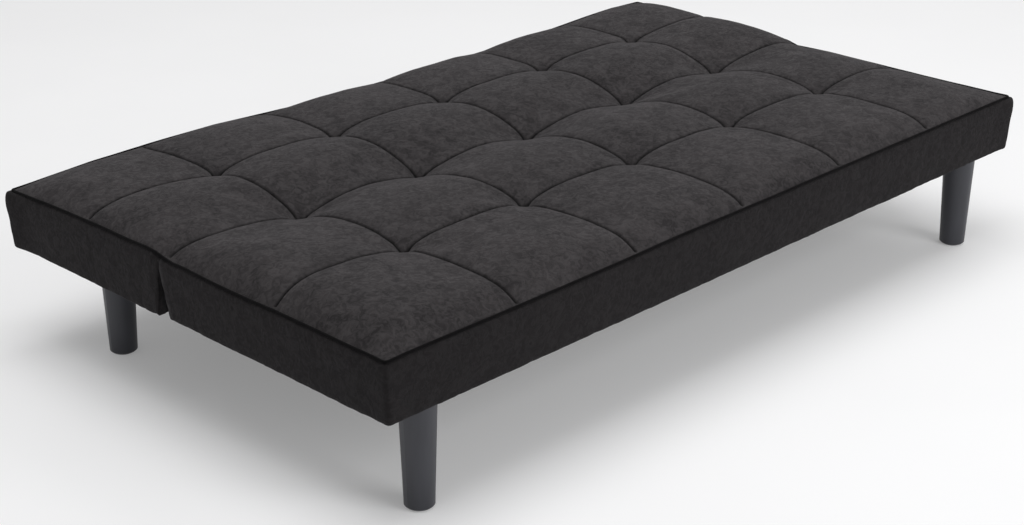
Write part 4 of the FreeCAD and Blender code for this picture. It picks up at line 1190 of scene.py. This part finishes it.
@dataclass
class Piping:
    """Cord-filled piping sewn into the seam all round the top."""

    finish: bpy.types.Material
    radius: float = 0.0027
    inset: float = 0.0138
    round_steps: int = 14

    def line(self) -> np.ndarray:
        """Middle line of the cord, as a closed loop."""
        loops = []
        for side in (Side.SEAT, Side.BACK):
            places, outward = Outline(side, step=0.008).walk(HINGE_Y)
            loops.append(places + outward * self.inset)
        seat, back = loops
        plan = np.vstack([seat, back[::-1][1:-1]])
        flat = np.column_stack([plan, np.full(len(plan), SEAM_Z)])
        flat[:, 2] += 0.0005 * wander(flat * (1, 1, 0), 0.10, 17.0, 2)
        return LIE.shift(flat, np.ones(len(flat)))

    def make(self) -> bpy.types.Object:
        """Sweep the cord's round section along its line."""
        line = self.line()
        ahead = np.roll(line, -1, axis=0) - np.roll(line, 1, axis=0)
        ahead /= np.linalg.norm(ahead, axis=1)[:, None]
        up = np.array([0.0, 0.0, 1.0])
        across = np.cross(ahead, up)
        across /= np.linalg.norm(across, axis=1)[:, None]
        rise = np.cross(across, ahead)
        turn = np.linspace(0, 2 * math.pi, self.round_steps, endpoint=False)[None, :, None]
        points = line[:, None, :] + self.radius * (np.cos(turn) * across[:, None, :]
                                                   + np.sin(turn) * rise[:, None, :])
        piece = to_object(wrap_net(points, ring=True), "seam_piping", self.finish)
        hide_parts("seat_piping", "back_piping")
        return bend(piece)


# Linings, dust cloths and webbing


@dataclass
class Slab:
    """Thin padded lining, made from a block that fills its node's box."""

    name: str
    body: str
    node: str
    finish: bpy.types.Material
    slot: str
    shape: Callable[[np.ndarray], np.ndarray]
    cells: tuple[int, int, int]

    def make(self) -> bpy.types.Object:
        """Fit a subdivided block to the node's box, then give it its soft shape."""
        low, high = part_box(self.node)
        bm = bmesh.new()
        bmesh.ops.create_cube(bm, size=1.0)
        for axis in range(3):
            cuts = self.cells[axis]
            if cuts > 0:
                run = [e for e in bm.edges if abs((e.verts[0].co - e.verts[1].co)[axis]) > 0.5]
                bmesh.ops.subdivide_edges(bm, edges=run, cuts=cuts, use_grid_fill=True)
        share = np.array([v.co for v in bm.verts], float) + 0.5
        place(bm.verts, self.shape(np.array(low) + share * (np.array(high) - np.array(low))))
        piece = to_object(bm, self.name, self.finish)
        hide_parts(self.node)
        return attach(piece, self.body)


def seat_lining(points: np.ndarray) -> np.ndarray:
    """Thin cloth over the rear rail: slack ripples, held at its edges.

    Args:
        points: Points of the block that fills the node's box.

    Returns:
        The moved points.
    """
    out = points.copy()
    share = (points[:, 2] - points[:, 2].min()) / np.ptp(points[:, 2])
    held = np.sin(math.pi * share)
    out[:, 1] -= 0.0004 * np.abs(wander(points * (1, 0, 0.3), 0.06, 2.0, 2)) * held
    return out


def back_wedge(points: np.ndarray) -> np.ndarray:
    """Padding that leans from the near rail towards the fold, rounded and a little lumpy.

    Args:
        points: Points of the block that fills the node's box.

    Returns:
        The moved points.
    """
    out = points.copy()
    low_z, high_z = points[:, 2].min(), points[:, 2].max()
    near_y, far_y = points[:, 1].min(), points[:, 1].max()
    up = (points[:, 2] - low_z) / (high_z - low_z)
    out_share = (far_y - points[:, 1]) / (far_y - near_y)
    # Its face leans from 44 mm behind the hinge line at the foot to 6 mm behind it, 97 mm higher
    lean = HINGE_Y + 0.044 - (0.044 - 0.006) * (points[:, 2] - Side.BACK.underside) / 0.097
    slack = 0.0012 * wander(points * (1, 0, 1), 0.05, 6.0, 2) * np.sin(math.pi * up)
    front = lean + 0.0022 + slack
    out[:, 1] = far_y + (front - far_y) * out_share
    return out


@dataclass
class BottomCloth:
    """Dust cloth stretched and stapled under a half, with a slight sag between the rails."""

    side: Side
    cloth: bpy.types.Material
    wire: bpy.types.Material
    rails: tuple[float, ...] = (-0.794, 0.0, 0.794)
    held_x: float = 0.878
    clear: float = 0.0002
    thick: float = 0.0008
    sag: float = 0.0035
    ripple: float = 0.0010
    points_long: int = 176
    points_deep: int = 56

    def make(self) -> list[bpy.types.Object]:
        """Build the cloth and its staples."""
        node = self.side.body + "_bottom_cover"
        low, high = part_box(node)
        xs = np.linspace(low.x + self.clear, high.x - self.clear, self.points_long)
        ys = np.linspace(low.y + self.clear, high.y - self.clear, self.points_deep)
        grid_x, grid_y = np.meshgrid(xs, ys)
        x, y = grid_x.ravel(), grid_y.ravel()
        to_rail = np.min(np.abs(x[:, None] - np.array(self.rails)), axis=1)
        free = np.minimum(smooth(0.022, 0.20, to_rail), smooth(0.0, 0.10, np.minimum(y - low.y, high.y - y)))
        free = np.minimum(free, smooth(0.0, 0.05, self.held_x - np.abs(x)))
        flat = np.column_stack([x, y, np.zeros_like(x)])
        ripple = wander(flat * (1, 0.4, 1), 0.05, 4.0 if self.side is Side.SEAT else 8.0, 2)
        lower = low.z + self.clear - free * (self.sag + self.ripple * ripple)
        bm = bmesh.new()
        lay_net(bm, np.column_stack([x, y, lower]).reshape(self.points_deep, self.points_long, 3))
        thicken(bm, (0, 0, self.thick))
        piece = to_object(bm, self.side.body + "_dust_cloth", self.cloth)
        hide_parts(node)
        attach(piece, self.side.body)
        return [piece, self.staples(low, high)]

    def staples(self, low: Vector, high: Vector) -> bpy.types.Object:
        """Flat crowns of the staples along the four edges.

        Args:
            low: Lowest corner of the cloth's box.
            high: Highest corner of the cloth's box.

        Returns:
            All staples of this half, as one piece.
        """
        pitch, inset = 0.060, 0.010
        along, across, thick = 0.010, 0.0012, 0.0006
        spots = []
        for x in np.arange(low.x + 0.03, high.x - 0.02, pitch):
            spots += [(x, low.y + inset, False), (x, high.y - inset, False)]
        for y in np.arange(low.y + 0.05, high.y - 0.04, pitch):
            spots += [(low.x + inset, y, True), (high.x - inset, y, True)]
        bm = bmesh.new()
        for x, y, turned in spots:
            for vert in bmesh.ops.create_cube(bm, size=1.0)["verts"]:
                dx, dy = vert.co.x * along, vert.co.y * across
                if turned:
                    dx, dy = dy, dx
                vert.co = (x + dx, y + dy, low.z + thick * (vert.co.z - 0.5))
        bmesh.ops.bevel(bm, geom=list(bm.edges), offset=0.0001, segments=1, profile=0.5, affect="EDGES",
                        material=-1)
        piece = to_object(bm, self.side.body + "_staples", self.wire)
        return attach(piece, self.side.body)


@dataclass
class Straps:
    """Elastic webbing across a half, stretched tight over the rails."""

    side: Side
    finish: bpy.types.Material
    count: int = 8
    width: float = 0.060
    thick: float = 0.0013
    clear: float = 0.0001
    end_gap: float = 0.001

    def make(self) -> bpy.types.Object:
        """Build the straps as one piece."""
        node = self.side.body + "_webbing"
        low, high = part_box(node)
        pitch = (high.x - low.x - self.width) / (self.count - 1)
        bm = bmesh.new()
        for k in range(self.count):
            left = low.x + pitch * k
            grid_x, grid_y = np.meshgrid(np.linspace(left, left + self.width, 7),
                                         np.linspace(low.y + self.end_gap, high.y - self.end_gap, 60))
            lay_net(bm, np.stack([grid_x, grid_y, np.full_like(grid_x, low.z + self.clear)], axis=-1))
        thicken(bm, (0, 0, self.thick))
        piece = to_object(bm, self.side.body + "_straps", self.finish)
        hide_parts(node)
        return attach(piece, self.side.body)


# All finishes


@dataclass
class Finishes:
    """All materials, made once."""

    top: bpy.types.Material = field(init=False)
    border: bpy.types.Material = field(init=False)
    cord: bpy.types.Material = field(init=False)
    cloth: bpy.types.Material = field(init=False)
    webbing: bpy.types.Material = field(init=False)
    pine_long: bpy.types.Material = field(init=False)
    pine_deep: bpy.types.Material = field(init=False)
    black_steel: bpy.types.Material = field(init=False)
    ratchet: bpy.types.Material = field(init=False)
    zinc: bpy.types.Material = field(init=False)
    leg: bpy.types.Material = field(init=False)
    glide: bpy.types.Material = field(init=False)
    rubber: bpy.types.Material = field(init=False)

    def __post_init__(self) -> None:
        self.top = BrushedSuede("brushed_suede_top", "201e1f", "3b3839", mottle=1.0, sheen=0.11).make()
        # The border is the top's suede in darker colours: painted shade on its upright faces
        self.border = BrushedSuede("brushed_suede_border", "181617", "211e1f", mottle=0.5, sheen=0.10).make()
        # The piping's near-black colours are partly painted shade along the piped seam
        self.cord = WovenPiping("woven_cotton_piping", "080708", "121112").make()
        self.cloth = SpunbondCloth("spunbond_dust_cloth", "111112").make()
        self.webbing = WovenElastic("woven_elastic_webbing").make()
        self.pine_long = PlanedPine("planed_pine_along", (0.12, 1.6, 1.6)).make()
        self.pine_deep = PlanedPine("planed_pine_across", (1.6, 0.12, 1.6)).make()
        self.black_steel = PowderCoatedSteel("powder_coated_steel", "141414").make()
        self.ratchet = ZincPlatedSteel("zinc_plated_pressed_steel", "8f8f8d").make()
        self.zinc = ZincPlatedSteel("zinc_plated_screw_steel", "b9b9b7").make()
        self.leg = MouldedPolypropylene("moulded_grey_polypropylene", "2d2e34").make()
        self.glide = MouldedPolypropylene("moulded_black_polypropylene", "121213", 0.5).make()
        self.rubber = MouldedRubber("moulded_black_rubber").make()

    def for_node(self, node: str, slot: str) -> bpy.types.Material:
        """Finish of a carried-over node.

        Args:
            node: Name of the node.
            slot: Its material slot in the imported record.

        Returns:
            The material of that slot, and for timber the one whose grain runs along the rail.
        """
        plain = {"top_suede": self.top, "border_suede": self.border, "piping_cord": self.cord,
                 "bottom_cloth": self.cloth, "elastic_webbing": self.webbing, "black_steel": self.black_steel,
                 "ratchet_steel": self.ratchet, "zinc_steel": self.zinc, "leg_plastic": self.leg,
                 "glide_plastic": self.glide, "buffer_rubber": self.rubber}
        if slot == "frame_timber":
            runs_along = any(word in node for word in ("front_rail", "rear_rail", "far_rail", "near_rail"))
            return self.pine_long if runs_along else self.pine_deep
        return plain[slot]

    def dress(self) -> None:
        """Give every carried-over node its finish."""
        slots = {s["node"]: s["material_slot"] for s in frame["record"]["subparts"]}
        for node, obj in frame["nodes"].items():
            obj.data.materials.clear()
            obj.data.materials.append(self.for_node(node, slots[node]))
            obj.data.polygons.foreach_set("material_index", [0] * len(obj.data.polygons))


# Camera, floor and light


@dataclass
class Studio:
    """Pale floor, soft light from overhead, the right and the front, and the camera of the photo."""

    eye: tuple[float, float, float] = (-2.74706, -2.62772, 1.69407)
    turn: float = 45.4006
    tilt: float = 23.4151
    lens: float = 70.21
    white: str = "f5f5f5"

    def camera(self) -> None:
        """Place the camera."""
        data = bpy.data.cameras.new("camera")
        data.lens = self.lens
        data.sensor_width = 36.0
        data.clip_start, data.clip_end = 0.05, 60.0
        cam = bpy.data.objects.new("camera", data)
        bpy.context.scene.collection.objects.link(cam)
        yaw, pitch = math.radians(self.turn), math.radians(self.tilt)
        look = Vector((math.sin(yaw) * math.cos(pitch), math.cos(yaw) * math.cos(pitch), -math.sin(pitch)))
        cam.location = self.eye
        cam.rotation_mode = "QUATERNION"
        cam.rotation_quaternion = look.to_track_quat("-Z", "Y")
        bpy.context.scene.camera = cam

    def floor(self) -> None:
        """Pale sweep of floor that keeps the shadow."""
        bm = bmesh.new()
        bmesh.ops.create_grid(bm, x_segments=2, y_segments=2, size=30.0)
        mesh = bpy.data.meshes.new("floor")
        bm.to_mesh(mesh)
        bm.free()
        mesh.materials.append(PaintedFloor("matt_painted_floor", "fbfbfc", "fafafb", self.white, 0.24).make())
        piece = bpy.data.objects.new("floor", mesh)
        bpy.context.scene.collection.objects.link(piece)

    def light(self, name: str, at: Sequence[float], size: float, power: float) -> None:
        """Add one soft box that faces the middle of the bed.

        Args:
            name: Name of the lamp.
            at: Where it hangs.
            size: Length of its square side in metres.
            power: Its power in watts.
        """
        data = bpy.data.lights.new(name, "AREA")
        data.shape = "SQUARE"
        data.size = size
        data.energy = power
        lamp = bpy.data.objects.new(name, data)
        bpy.context.scene.collection.objects.link(lamp)
        lamp.location = at
        lamp.rotation_mode = "QUATERNION"
        lamp.rotation_quaternion = (Vector((0, 0, 0.2)) - Vector(at)).to_track_quat("-Z", "Y")

    def world(self) -> None:
        """Even white surround, brighter for the eye, metal and glass than for the light on the bed."""
        world = bpy.data.worlds.new("surround")
        bpy.context.scene.world = world
        world.use_nodes = True
        tree = world.node_tree
        tree.nodes.clear()
        soft = add(tree, "ShaderNodeBackground", {"Color": linear("ffffff"), "Strength": 0.30})
        white = add(tree, "ShaderNodeBackground", {"Color": linear(self.white), "Strength": 1.0})
        mix = add(tree, "ShaderNodeMixShader", {"Fac": seen_rays(tree), 1: soft.outputs["Background"],
                                                2: white.outputs["Background"]})
        add(tree, "ShaderNodeOutputWorld", {"Surface": mix.outputs["Shader"]})

    def make(self) -> None:
        """Set up the whole stage."""
        bpy.context.scene.view_settings.view_transform = "Standard"
        self.camera()
        self.floor()
        self.world()
        self.light("overhead", (-0.7, 0.4, 6.0), 4.5, 208.0)
        self.light("right", (3.4, -0.2, 3.8), 2.5, 34.0)
        self.light("front", (0.6, -4.4, 2.6), 2.5, 74.0)


def main() -> None:
    """Set up the stage, dress the carried-over nodes and build every piece."""
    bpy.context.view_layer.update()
    Studio().make()
    finishes = Finishes()
    finishes.dress()
    TuftedTop(finishes.top).make()
    for side in Side:
        BorderBand(side, finishes.border).make()
        BottomCloth(side, finishes.cloth, finishes.zinc).make()
        Straps(side, finishes.webbing).make()
        for end in End:
            SlitFlap(side, end, finishes.border).make()
    for end in End:
        Gusset(end, finishes.border).make()
    Piping(finishes.cord).make()
    Slab("seat_rear_lining", SEAT, "seat_rear_border", finishes.border, "border_suede", seat_lining,
         (120, 0, 8)).make()
    Slab("back_near_lining", BACK, "back_near_border", finishes.border, "border_suede", back_wedge,
         (120, 3, 12)).make()


if __name__ == "__main__":
    main()
